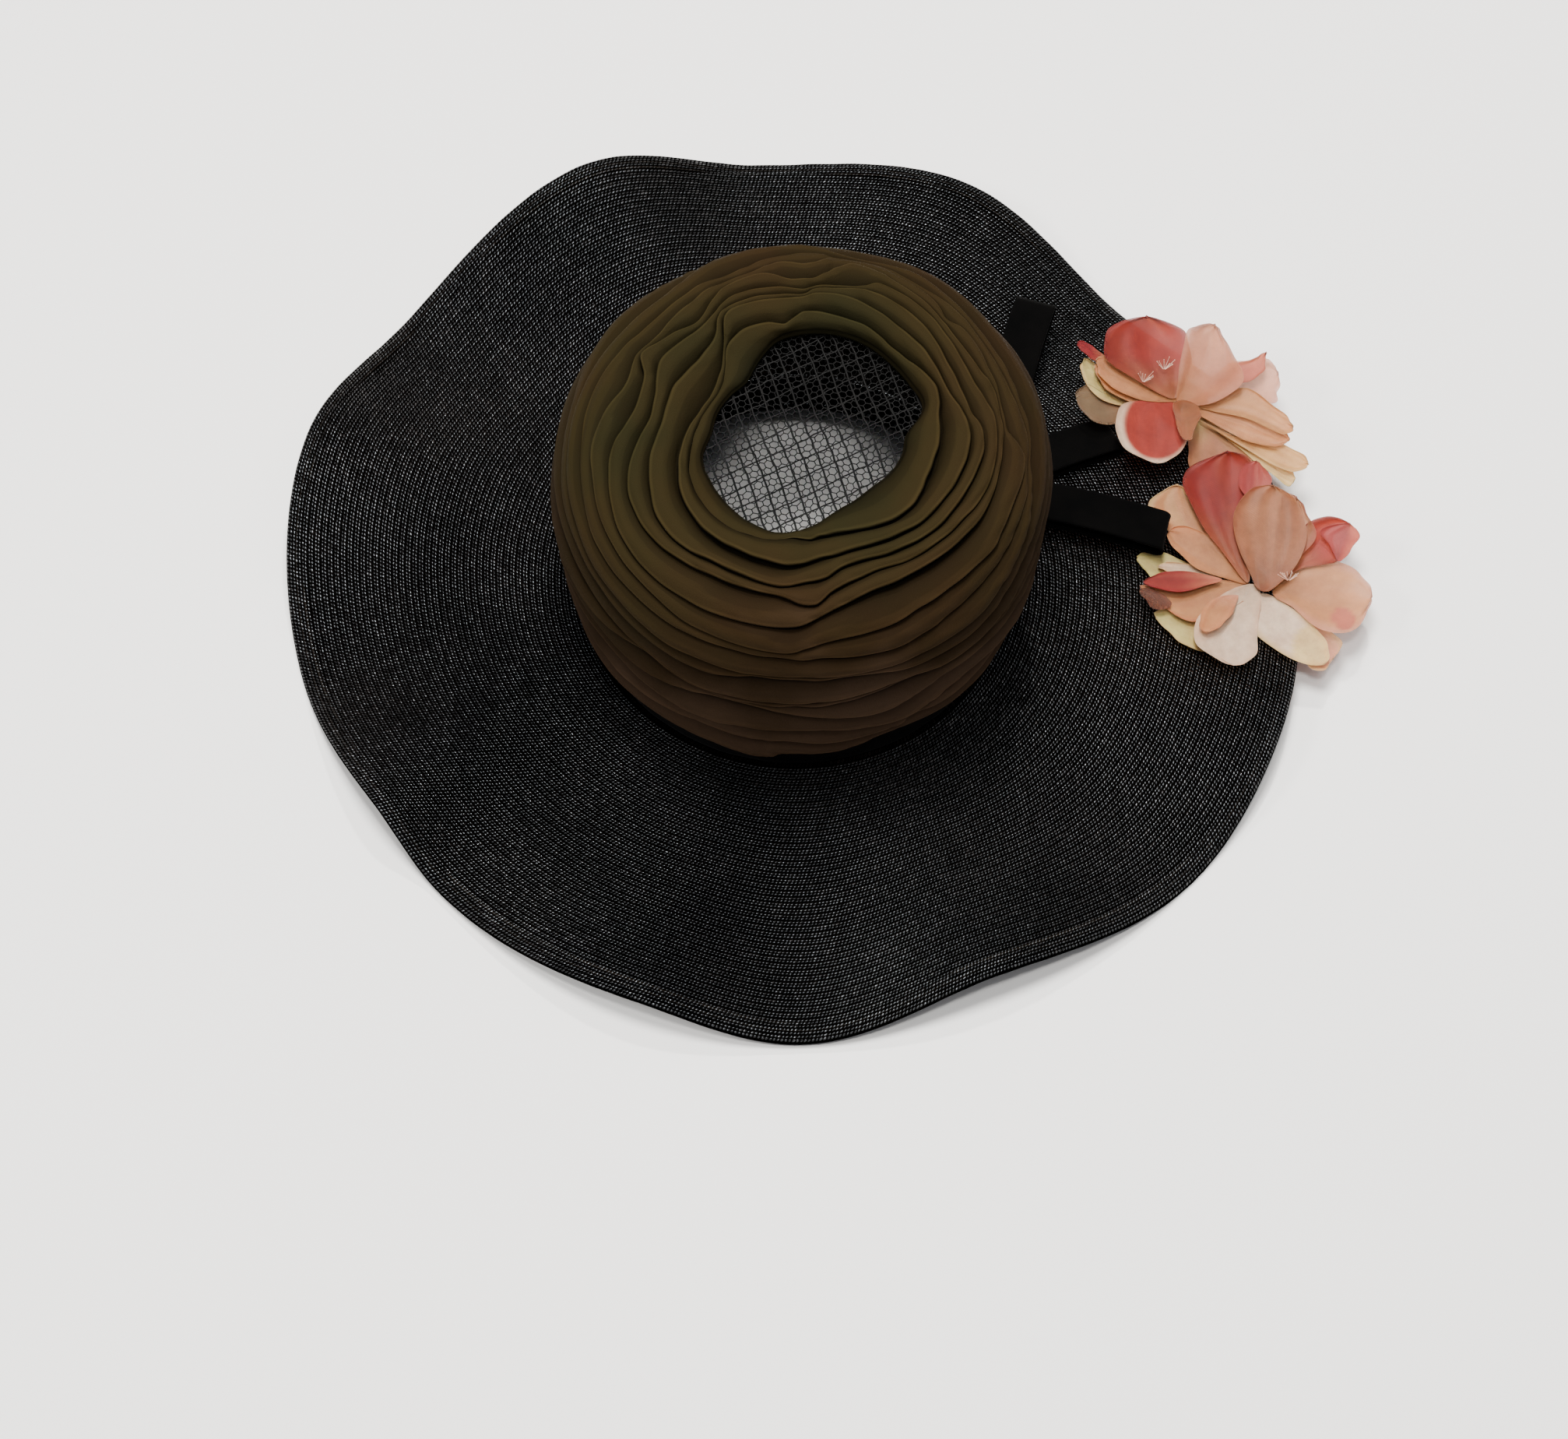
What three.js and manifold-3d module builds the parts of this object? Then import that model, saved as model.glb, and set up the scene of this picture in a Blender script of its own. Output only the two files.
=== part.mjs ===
// A wide-brimmed hat of sewn straw. Its crown is an open net cap wound with folded chiffon, with a
// velvet ribbon band and bow at its foot and two silk flowers at the right edge of the brim.
// Millimetres, +Z up, +Y towards the front of the hat, +X towards the wearer's right side.
import * as THREE from 'three';
import { mergeVertices } from 'three/addons/utils/BufferGeometryUtils.js';
import Module from 'manifold-3d';

const wasm = await Module();
wasm.setup();

// Driving dimensions
const headRadius = 91; // inside of the head opening, for a head 57 cm round
const flatRadius = 97; // the brim is flat out to here, where the crown stands on it
const strawWall = 1.6;
const hemWidth = 8.5; // doubled straw round the edge of the brim
const hemWall = 2.6;
const hemTurn = 1.2; // how far the outer edge of the hem is turned down
const gap = 0.35; // clearance between neighbouring pieces
const crownLean = 6; // the top of the crown lies this far to the right of its foot
const netWall = 1.2;
const drapeBottom = 0.05; // lower edge of the drape, as a share of the way up the crown
const foldDepth = 1.7; // how far a fold stands proud, and how deep the groove under it is
const bandWall = 2;
const bandTop = 19;
const ribbonWidth = 19;
const ribbonWall = 1.2;
const petalWall = 1;
const petalPitch = 1.4; // rise from one layer of petals to the next at the stem
const petalSpread = 0.03; // further rise for each millimetre outwards
const stemRadius = 3.5;
const aroundSteps = 52; // facets round the hat

// Brim edge, a row for each crest or trough of its wave: compass angle in degrees from the right
// side, reach from the middle of the head opening, and height over the underside of the flat ring.
const brimWaves = [
  { angle: 8, reach: 229, height: -24 },
  { angle: 27, reach: 228, height: -15 },
  { angle: 47, reach: 221, height: -25 },
  { angle: 70, reach: 238, height: -10 },
  { angle: 95, reach: 242, height: -20 },
  { angle: 114, reach: 246, height: 4 },
  { angle: 140, reach: 240, height: -24 },
  { angle: 160, reach: 240, height: -8 },
  { angle: 188, reach: 227, height: -26 },
  { angle: 210, reach: 216, height: -9 },
  { angle: 222, reach: 214, height: -24 },
  { angle: 251, reach: 215, height: -11 },
  { angle: 271, reach: 218, height: -24 },
  { angle: 294, reach: 211, height: -9 },
  { angle: 322, reach: 224, height: -26 },
  { angle: 341, reach: 228, height: -13 },
];
const brimDroop = -17; // mean height of the edge
const droopPower = 1.1;
const wavePower = 1.8;

// Crown profile, a row for each section: share of the way from foot to top, then the mean outside
// of the drape and the outside of the net cap beneath it, as radius and height.
const crownProfile = [
  { up: 0, drapeR: 97, drapeZ: 12, netR: 92.7, netZ: 12 },
  { up: 0.164, drapeR: 100, drapeZ: 38, netR: 95.4, netZ: 38 },
  { up: 0.341, drapeR: 103.5, drapeZ: 66, netR: 98.9, netZ: 66 },
  { up: 0.491, drapeR: 104.5, drapeZ: 90, netR: 99.8, netZ: 88 },
  { up: 0.605, drapeR: 102, drapeZ: 108, netR: 96.6, netZ: 105 },
  { up: 0.697, drapeR: 95, drapeZ: 121, netR: 90.3, netZ: 115.5 },
  { up: 0.79, drapeR: 82, drapeZ: 128, netR: 79, netZ: 121 },
  { up: 0.903, drapeR: 64, drapeZ: 129, netR: 64, netZ: 122 },
  { up: 1, drapeR: 49, drapeZ: 125.6, netR: 52, netZ: 122 },
  { up: 1.1, drapeR: 33, drapeZ: 125, netR: 36, netZ: 122 },
];

// Lower lips of the folds, a row for each fold from the foot up. Its columns are the share of the
// way up the crown at every 30 degrees of compass angle, starting from the right side. A broad
// fold swells between its lip and the one below.
const foldLips = [
  {
    fold: 'foot',
    broad: true,
    lip: [0.15, 0.15, 0.15, 0.15, 0.15, 0.15, 0.15, 0.152, 0.158, 0.15, 0.13, 0.155],
  },
  {
    fold: 'low',
    broad: true,
    lip: [0.26, 0.26, 0.26, 0.26, 0.26, 0.26, 0.27, 0.283, 0.235, 0.24, 0.185, 0.22],
  },
  {
    fold: 'waist',
    broad: true,
    lip: [0.43, 0.43, 0.44, 0.44, 0.43, 0.43, 0.42, 0.4, 0.36, 0.36, 0.37, 0.41],
  },
  {
    fold: 'belt',
    broad: true,
    lip: [0.675, 0.712, 0.69, 0.678, 0.695, 0.69, 0.655, 0.598, 0.556, 0.551, 0.56, 0.616],
  },
  {
    fold: 'lower',
    lip: [0.7, 0.74, 0.718, 0.71, 0.73, 0.72, 0.69, 0.655, 0.62, 0.618, 0.62, 0.652],
  },
  {
    fold: 'middle',
    lip: [0.745, 0.768, 0.745, 0.745, 0.76, 0.795, 0.75, 0.692, 0.65, 0.655, 0.692, 0.702],
  },
  {
    fold: 'upper',
    lip: [0.77, 0.792, 0.775, 0.785, 0.805, 0.84, 0.8, 0.728, 0.706, 0.716, 0.762, 0.766],
  },
  {
    fold: 'shoulder',
    lip: [0.795, 0.818, 0.805, 0.835, 0.84, 0.87, 0.85, 0.778, 0.76, 0.768, 0.81, 0.795],
  },
  {
    fold: 'high',
    lip: [0.835, 0.86, 0.838, 0.862, 0.868, 0.912, 0.9, 0.81, 0.81, 0.82, 0.855, 0.832],
  },
  {
    fold: 'crest',
    lip: [0.87, 0.9, 0.88, 0.885, 0.89, 0.965, 0.955, 0.87, 0.862, 0.875, 0.89, 0.875],
  },
];
const lipSpread = 0.009; // half of the rounded lip, as a share of the way up the crown
const outlineRun = 160; // length of the crown's outline from the foot to the mean rim of the opening

// Edge of the opening in the top of the drape, every 30 degrees: radius from the leaning axis.
const openingRadius = [42, 50, 51, 51, 43, 40, 43, 48, 51, 46, 37, 38];
const meanOpening = 49; // radius at which the edge lies a full share of the way up

// Net cap: its flat top and the cells through it, between two families of thick threads.
const netFlatTop = 58;
const netPitch = 9;
const netThread = 2;
const netCellReach = 49;
const netAngles = [-72, 29];
const netSteps = 40; // facets round the cap

// Bow loops: foot and tip in plan, and the heights of the lower and upper layer at both ends.
const bowLoops = [
  {
    name: 'bow_loop_upper',
    foot: [90, 55],
    tip: [112, 146],
    footHeights: [7.8, 12.8],
    tipHeights: [0, 7],
  },
  {
    name: 'bow_loop_middle',
    foot: [92.3, 47.1],
    tip: [146, 78],
    footHeights: [2.6, 7],
    tipHeights: [-5.2, -0.4],
  },
  {
    name: 'bow_loop_lower',
    foot: [93.5, 38.3],
    tip: [167, 22],
    footHeights: [8.4, 13.4],
    tipHeights: [2, 8],
  },
];
const bowArch = 1.2; // rise of a loop's layers between their ends
const knotAngle = 27;
const knotRadius = 7;
const knotHalf = 8; // half of the knot's width against the band
const knotHeight = 13;
const knotInset = 0.6;

// Silk flowers, a row for each petal: reach of its tip to the right and to the front of the stem,
// its width, and the layer that it lies in, from 0 at the brim. lift is how far the outer petals
// of the flower rise at the front, back, left and right.
const flowers = [
  {
    name: 'flower_a',
    stem: [178, 93],
    lift: { front: 13, back: 0, left: 10, right: 5 },
    petals: [
      { name: 'rose', tip: [-16, 34], width: 37, layer: 4 },
      { name: 'blush', tip: [12, 33], width: 25, layer: 5 },
      { name: 'pale', tip: [42, 18], width: 24, layer: 1 },
      { name: 'beige', tip: [50, -18], width: 18, layer: 3 },
      { name: 'straw', tip: [56, -32], width: 16, layer: 2 },
      { name: 'cream', tip: [48, -41], width: 13, layer: 1 },
      { name: 'taupe', tip: [16, -37], width: 28, layer: 0 },
      { name: 'coral', tip: [-16, -34], width: 30, layer: 1 },
      { name: 'smoke', tip: [-49, 2], width: 18, layer: 0 },
      { name: 'ivory', tip: [-46, 15], width: 17, layer: 1 },
      { name: 'peach', tip: [-40, 19], width: 13, layer: 2 },
      { name: 'crimson', tip: [-48, 26], width: 8, layer: 3 },
    ],
  },
  {
    name: 'flower_b',
    stem: [203.5, -1],
    lift: { front: 12, back: -2, left: 1, right: 6 },
    petals: [
      { name: 'rose', tip: [-4, 52], width: 32, layer: 3 },
      { name: 'pink', tip: [8, 50], width: 15, layer: 4 },
      { name: 'taupe', tip: [15, 38], width: 29, layer: 5 },
      { name: 'curl', tip: [52, 21], width: 22, layer: 3 },
      { name: 'blush', tip: [56, -6], width: 30, layer: 2 },
      { name: 'cream', tip: [36, -45], width: 17, layer: 1 },
      { name: 'veil', tip: [42, -44], width: 14, layer: 0 },
      { name: 'white', tip: [-9, -42], width: 30, layer: 2 },
      { name: 'apricot', tip: [-22, -23], width: 15, layer: 4 },
      { name: 'lime', tip: [-38, -22], width: 14, layer: 0 },
      { name: 'salmon', tip: [-42, -12], width: 20, layer: 1 },
      { name: 'sliver', tip: [-47, 0], width: 10, layer: 3 },
      { name: 'shell', tip: [-36, 42], width: 26, layer: 1 },
      { name: 'peach', tip: [-33, 25], width: 18, layer: 2 },
      { name: 'mint', tip: [-46, 15], width: 13, layer: 0 },
    ],
  },
];
const liftReach = 45; // distance from the stem at which lift counts in full
const liftPower = 1.5;
const petalRows = 4;
const petalColumns = 3;
const petalClaw = 2; // width of a petal at its root
const flowerClear = 3; // height of the lowest petals over the brim
const stamenProfile = [[0, 0], [3.4, 0], [4.2, 3], [2.6, 5], [0, 4.2]]; // radius and height

function material(color, roughness) {
  return new THREE.MeshStandardMaterial({ color, roughness, metalness: 0, side: THREE.DoubleSide });
}

const straw = () => material(0x14110f, 0.42);
const chiffon = () => material(0x3d3114, 0.85);
const net = () => material(0x0d0c0c, 0.6);
const velvet = () => material(0x050505, 0.95);
const petalColours = {
  rose: 0xb85a5e,
  blush: 0xcf9d8c,
  pale: 0xe4bdb0,
  beige: 0xcca57a,
  straw: 0xd4b784,
  cream: 0xe6cfa8,
  taupe: 0xbd9275,
  coral: 0xc85f5c,
  smoke: 0x9e8770,
  ivory: 0xccc799,
  peach: 0xd6a48a,
  crimson: 0xa6384c,
  pink: 0xcc7380,
  curl: 0xc76b6b,
  veil: 0xd9bca4,
  white: 0xe6dccf,
  apricot: 0xe0b598,
  lime: 0xcccb99,
  salmon: 0xcc9980,
  sliver: 0xb3474d,
  shell: 0xdeb08c,
  mint: 0xd0cfb0,
};

const radians = (degrees) => (degrees * Math.PI) / 180;

// Smooth curve through rows of numbers, with the slope at each row taken from its two neighbours.
function smooth(x0, y0, x1, y1, x2, y2, x3, y3, x) {
  const width = x2 - x1;
  const t = (x - x1) / width;
  const slope1 = ((y2 - y0) / (x2 - x0)) * width;
  const slope2 = ((y3 - y1) / (x3 - x1)) * width;
  const a = 2 * t ** 3 - 3 * t ** 2 + 1;
  const b = t ** 3 - 2 * t ** 2 + t;
  const c = -2 * t ** 3 + 3 * t ** 2;
  const d = t ** 3 - t ** 2;
  return a * y1 + b * slope1 + c * y2 + d * slope2;
}

// Value at a compass angle of a closed row of [angle, value] pairs in rising order.
function aroundPairs(pairs, degrees) {
  const count = pairs.length;
  const angle = THREE.MathUtils.euclideanModulo(degrees - pairs[0][0], 360) + pairs[0][0];
  let index = pairs.findIndex((pair) => pair[0] > angle) - 1;
  if (index < 0) index = count - 1;
  const at = (step) => {
    const turn = Math.floor((index + step) / count);
    const pair = pairs[index + step - turn * count];
    return [pair[0] + turn * 360, pair[1]];
  };
  return smooth(...at(-1), ...at(0), ...at(1), ...at(2), angle);
}

function aroundRows(rows, column, degrees) {
  return aroundPairs(rows.map((row) => [row.angle, row[column]]), degrees);
}

function aroundEven(values, degrees) {
  return aroundPairs(values.map((value, index) => [(index * 360) / values.length, value]), degrees);
}

// Value of one column of the crown profile at a share of the way up.
function profileAt(column, up) {
  const rows = crownProfile;
  const last = rows.length - 1;
  let index = rows.findIndex((row) => row.up > up) - 1;
  if (index < 0) index = up < rows[0].up ? 0 : last - 1;
  const at = (step) => {
    const place = index + step;
    if (place < 0) return [rows[0].up - 0.1, 2 * rows[0][column] - rows[1][column]];
    if (place > last) return [rows[last].up + 0.1, 2 * rows[last][column] - rows[last - 1][column]];
    return [rows[place].up, rows[place][column]];
  };
  return smooth(...at(-1), ...at(0), ...at(1), ...at(2), up);
}

// Closed solid from shared vertices and triangles.
function solid(vertices, triangles) {
  const geometry = new THREE.BufferGeometry();
  geometry.setAttribute('position', new THREE.Float32BufferAttribute(vertices.flat(), 3));
  geometry.setIndex(triangles.flat());
  geometry.computeVertexNormals();
  return geometry;
}

// Ring solid: a closed loop of (radius, height) points, counterclockwise, that changes shape as it
// goes once round the hat. lean gives the shift to the right of each point of the loop.
function ringSolid(steps, loopAt, lean = () => 0) {
  const vertices = [];
  const triangles = [];
  const size = loopAt(0).length;
  for (let i = 0; i < steps; i += 1) {
    const degrees = (i * 360) / steps;
    for (const [r, z, up] of loopAt(degrees)) {
      vertices.push([r * Math.cos(radians(degrees)) + lean(up), r * Math.sin(radians(degrees)), z]);
    }
  }
  for (let i = 0; i < steps; i += 1) {
    const next = (i + 1) % steps;
    for (let j = 0; j < size; j += 1) {
      const up = (j + 1) % size;
      triangles.push([i * size + j, next * size + j, next * size + up]);
      triangles.push([i * size + j, next * size + up, i * size + up]);
    }
  }
  return solid(vertices, triangles);
}

// Height of the top of the brim over the underside of its flat ring.
function brimHeight(degrees, radius) {
  const reach = aroundRows(brimWaves, 'reach', degrees);
  const out = Math.max(0, (radius - flatRadius) / (reach - flatRadius));
  const wave = aroundRows(brimWaves, 'height', degrees) - brimDroop;
  return strawWall + brimDroop * out ** droopPower + wave * out ** wavePower;
}

function brim() {
  const shares = [0, 0.2, 0.4, 0.6, 0.8, 1];
  return ringSolid(aroundSteps, (degrees) => {
    const reach = aroundRows(brimWaves, 'reach', degrees) - hemWidth - gap;
    const radii = [headRadius, ...shares.map((share) => flatRadius + share * (reach - flatRadius))];
    const top = radii.map((r) => [r, brimHeight(degrees, r)]);
    const under = top.map(([r, z]) => [r, z - strawWall]);
    return [...under, ...top.reverse()];
  });
}

function brimEdge() {
  const rounding = 0.5; // of the outer edge, in plan
  return ringSolid(aroundSteps, (degrees) => {
    const reach = aroundRows(brimWaves, 'reach', degrees);
    const inner = reach - hemWidth;
    const crest = reach - hemWidth / 3;
    const proud = (hemWall - strawWall) / 2;
    const innerTop = brimHeight(degrees, inner) + proud;
    const crestTop = brimHeight(degrees, crest) + proud;
    const outerTop = brimHeight(degrees, reach) - hemTurn + proud;
    return [
      [inner, innerTop - hemWall],
      [crest, crestTop - hemWall],
      [reach - rounding, outerTop - hemWall],
      [reach, outerTop - hemWall / 2],
      [reach - rounding, outerTop],
      [crest, crestTop],
      [inner, innerTop],
    ];
  });
}

// Sections of the net cap between its straight foot and its flat top.
const capShares = [0.2, 0.42, 0.605, 0.7, 0.79];

// A point of the crown: its mean outside moved outwards by proud, or the net moved by clear.
function crownPoint(kind, up, proud) {
  const step = 0.004;
  const r = profileAt(`${kind}R`, up);
  const z = profileAt(`${kind}Z`, up);
  const run = profileAt(`${kind}R`, up + step) - profileAt(`${kind}R`, up - step);
  const rise = profileAt(`${kind}Z`, up + step) - profileAt(`${kind}Z`, up - step);
  const length = Math.hypot(run, rise) || 1;
  return [r + (rise / length) * proud, z - (run / length) * proud, up];
}

const leanAt = (up) => (crownLean * Math.max(0, up - drapeBottom)) / (1 - drapeBottom);

// The chiffon: folds that lap down over each other, each with a rounded lip and a groove under it.
function crownDrape() {
  const bandClear = headRadius + gap + netWall + gap + bandWall + 2 * gap;
  return ringSolid(aroundSteps, (degrees) => {
    const opening = aroundEven(openingRadius, degrees);
    const rim = 1 + (meanOpening - opening) / outlineRun;
    const outside = [crownPoint('drape', drapeBottom, 0), crownPoint('drape', drapeBottom + lipSpread, 1)];
    let below = drapeBottom;
    for (const fold of foldLips) {
      const lip = aroundEven(fold.lip, degrees);
      if (fold.broad) outside.push(crownPoint('drape', (lip + below) / 2, 0));
      outside.push(crownPoint('drape', lip - lipSpread / 3, -foldDepth));
      outside.push(crownPoint('drape', lip + lipSpread, foldDepth * 0.8));
      below = lip;
    }
    outside.push(crownPoint('drape', (below + rim) / 2, 0.6));
    outside.push(crownPoint('drape', rim - lipSpread, 0.2));
    const netClear = 2 * gap;
    const inside = [rim, 0.95, ...capShares.toReversed()].map((up) => crownPoint('net', up, netClear));
    const foot = outside[0][1];
    inside.push([bandClear, foot + 3.5, drapeBottom], [bandClear, foot, drapeBottom]);
    return [...outside, ...inside];
  }, leanAt);
}

// Cap of stiff net, plain below and pierced by lozenge cells over its top.
function crownNet() {
  const radius = headRadius + gap + netWall;
  const crown = [0, profileAt('netZ', 1), 1];
  const outer = [
    [radius, strawWall + gap, 0],
    [radius, bandTop, drapeBottom],
    ...capShares.map((up) => crownPoint('net', up, 0)),
    [netFlatTop, crown[1], 0.95],
    crown,
  ];
  const inner = [
    [radius - netWall, strawWall + gap, 0],
    [radius - netWall, bandTop, drapeBottom],
    ...capShares.map((up) => crownPoint('net', up, -netWall)),
    [netFlatTop, crown[1] - netWall, 0.95],
    [0, crown[1] - netWall, 1],
  ];
  const loop = [...inner.reverse(), ...outer];
  const shell = new THREE.LatheGeometry(loop.map(([r, z]) => new THREE.Vector2(r, z)), netSteps);
  shell.rotateX(Math.PI / 2);
  const places = shell.getAttribute('position');
  for (let i = 0; i < places.count; i += 1) {
    places.setX(i, places.getX(i) + leanAt(loop[i % loop.length][2]));
  }
  return fromManifold(toManifold(shell).subtract(toManifold(netCells(profileAt('netZ', 1)))));
}

// Prisms for the cells of the net, between two families of thick threads.
function netCells(top) {
  const [first, second] = netAngles.map((degrees) => {
    return new THREE.Vector2(Math.cos(radians(degrees)), Math.sin(radians(degrees)));
  });
  const stretch = netPitch / Math.abs(first.cross(second));
  const share = 1 - netThread / netPitch;
  const count = Math.ceil(netCellReach / netPitch) + 2;
  const vertices = [];
  const triangles = [];
  for (let i = -count; i <= count; i += 1) {
    for (let j = -count; j <= count; j += 1) {
      const corners = [[-1, -1], [1, -1], [1, 1], [-1, 1]].map(([a, b]) => {
        const along = (i + (a * share) / 2) * stretch;
        const across = (j + (b * share) / 2) * stretch;
        return [first.x * along + second.x * across, first.y * along + second.y * across];
      });
      if (corners.some(([x, y]) => Math.hypot(x, y) > netCellReach)) continue;
      const start = vertices.length;
      for (const z of [top - 2 * netWall, top + netWall]) {
        for (const [x, y] of corners) vertices.push([x + crownLean, y, z]);
      }
      const faces = [[0, 2, 1], [0, 3, 2], [4, 5, 6], [4, 6, 7]];
      for (let k = 0; k < 4; k += 1) {
        const next = (k + 1) % 4;
        faces.push([k, next, 4 + next], [k, 4 + next, 4 + k]);
      }
      for (const face of faces) triangles.push(face.map((corner) => corner + start));
    }
  }
  return solid(vertices, triangles);
}

function toManifold(geometry) {
  const bare = geometry.clone();
  bare.deleteAttribute('normal');
  bare.deleteAttribute('uv');
  const merged = mergeVertices(bare, 1e-4);
  const corners = merged.getIndex().array;
  const kept = [];
  for (let i = 0; i < corners.length; i += 3) {
    const [a, b, c] = corners.slice(i, i + 3);
    if (a !== b && b !== c && a !== c) kept.push(a, b, c);
  }
  const vertProperties = new Float32Array(merged.getAttribute('position').array);
  return new wasm.Manifold(new wasm.Mesh({ numProp: 3, vertProperties, triVerts: new Uint32Array(kept) }));
}

function fromManifold(body) {
  const mesh = body.getMesh();
  const geometry = new THREE.BufferGeometry();
  geometry.setAttribute('position', new THREE.BufferAttribute(mesh.vertProperties, 3));
  geometry.setIndex(new THREE.BufferAttribute(mesh.triVerts, 1));
  geometry.computeVertexNormals();
  return geometry;
}

function velvetBand() {
  const inner = headRadius + gap + netWall + gap;
  const foot = strawWall + gap;
  return ringSolid(aroundSteps, () => [
    [inner, foot],
    [inner + bandWall, foot],
    [inner + bandWall, bandTop],
    [inner, bandTop],
  ]);
}

// A strip of ribbon laid double: out from the knot, round a soft fold at the tip, and back.
function bowLoop({ foot, tip, footHeights, tipHeights }) {
  const [low, high] = tipHeights;
  const length = Math.hypot(tip[0] - foot[0], tip[1] - foot[1]);
  const tipRadius = (high - low) / 2;
  const straight = length - tipRadius;
  const count = 5;
  const layer = (start, end, inset) => {
    const points = [];
    for (let i = 0; i < count; i += 1) {
      const share = i / (count - 1);
      const arch = Math.sin(Math.PI * share) * bowArch;
      points.push(new THREE.Vector2(share * straight, start + (end - start) * share + arch + inset));
    }
    return points;
  };
  const turn = (radius) => {
    const points = [];
    for (let i = 1; i < count; i += 1) {
      const angle = -Math.PI / 2 + (Math.PI * i) / count;
      const out = radius * Math.cos(angle);
      points.push(new THREE.Vector2(straight + out, low + tipRadius + radius * Math.sin(angle)));
    }
    return points;
  };
  const outside = [
    ...layer(footHeights[0], low, 0),
    ...turn(tipRadius),
    ...layer(footHeights[1], high, 0).reverse(),
  ];
  const inside = [
    ...layer(footHeights[0], low, ribbonWall),
    ...turn(tipRadius - ribbonWall),
    ...layer(footHeights[1], high, -ribbonWall).reverse(),
  ];
  const outline = new THREE.Shape([...outside, ...inside.reverse()]);
  const geometry = new THREE.ExtrudeGeometry(outline, { depth: ribbonWidth, bevelEnabled: false });
  geometry.translate(0, 0, -ribbonWidth / 2);
  geometry.rotateX(Math.PI / 2);
  geometry.rotateZ(Math.atan2(tip[1] - foot[1], tip[0] - foot[0]));
  geometry.translate(foot[0], foot[1], 0);
  return geometry;
}

// Wrapped knot of the bow, sewn to the band.
function bowKnot() {
  const inner = headRadius + gap + netWall + gap + bandWall + gap;
  const outline = new THREE.Shape();
  outline.moveTo(0, -knotHalf);
  outline.absarc(0, 0, knotRadius, radians(-60), radians(60), false);
  outline.lineTo(0, knotHalf);
  const shape = { depth: knotHeight, bevelEnabled: false, curveSegments: 4 };
  const geometry = new THREE.ExtrudeGeometry(outline, shape);
  geometry.translate(inner + knotInset, 0, strawWall + 2 * gap);
  geometry.rotateZ(radians(knotAngle));
  return geometry;
}

// Common bowl of a flower: its rise over the stem's foot at a place beside the stem.
function bowlRise(lift, x, y) {
  const out = Math.hypot(x, y) || 1;
  const side = x > 0 ? lift.right : lift.left;
  const end = y > 0 ? lift.front : lift.back;
  const mixed = (side * x * x + end * y * y) / (out * out);
  return mixed * (out / liftReach) ** liftPower;
}

// A petal: a sheet that narrows to a claw at the stem and is widest past its middle.
function petal({ tip, width, layer }, lift) {
  const reach = Math.hypot(...tip);
  const along = [tip[0] / reach, tip[1] / reach];
  const root = stemRadius + gap;
  const top = [];
  for (let i = 0; i <= petalRows; i += 1) {
    const share = i / petalRows;
    const swell = Math.sin(Math.PI * (0.05 + 0.84 * share)) ** 0.6;
    const half = petalClaw / 2 + ((width - petalClaw) / 2) * (i === 0 ? 0 : swell);
    for (let j = 0; j <= petalColumns; j += 1) {
      const side = (2 * j) / petalColumns - 1;
      const rounded = i === petalRows ? side * side * half * 0.35 : 0;
      const out = root + (reach - root) * share - rounded;
      const x = along[0] * out - along[1] * side * half;
      const y = along[1] * out + along[0] * side * half;
      const layerRise = layer * (petalPitch + petalSpread * Math.hypot(x, y));
      top.push([x, y, bowlRise(lift, x, y) + layerRise + petalWall]);
    }
  }
  return sheet(top, petalRows + 1, petalColumns + 1, petalWall);
}

// Closed sheet under a grid of points, with a wall of even depth.
function sheet(top, rows, columns, wall) {
  const count = top.length;
  const vertices = [...top, ...top.map(([x, y, z]) => [x, y, z - wall])];
  const triangles = [];
  const at = (i, j) => i * columns + j;
  for (let i = 0; i < rows - 1; i += 1) {
    for (let j = 0; j < columns - 1; j += 1) {
      const [a, b, c, d] = [at(i, j), at(i + 1, j), at(i + 1, j + 1), at(i, j + 1)];
      triangles.push([a, b, c], [a, c, d]);
      triangles.push([count + a, count + c, count + b], [count + a, count + d, count + c]);
    }
  }
  const border = [];
  for (let i = 0; i < rows - 1; i += 1) border.push(at(i, 0));
  for (let j = 0; j < columns - 1; j += 1) border.push(at(rows - 1, j));
  for (let i = rows - 1; i > 0; i -= 1) border.push(at(i, columns - 1));
  for (let j = columns - 1; j > 0; j -= 1) border.push(at(0, j));
  border.forEach((a, index) => {
    const b = border[(index + 1) % border.length];
    triangles.push([b, a, count + a], [b, count + a, count + b]);
  });
  return solid(vertices, triangles);
}

// Stamens: a low tuft standing on the stem.
function stamenTuft() {
  const tuft = new THREE.LatheGeometry(stamenProfile.map(([r, z]) => new THREE.Vector2(r, z)), 8);
  return tuft.rotateX(Math.PI / 2);
}

function addMesh(parent, name, geometry, finish) {
  const mesh = new THREE.Mesh(geometry, finish);
  mesh.name = name;
  parent.add(mesh);
  return mesh;
}

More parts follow.
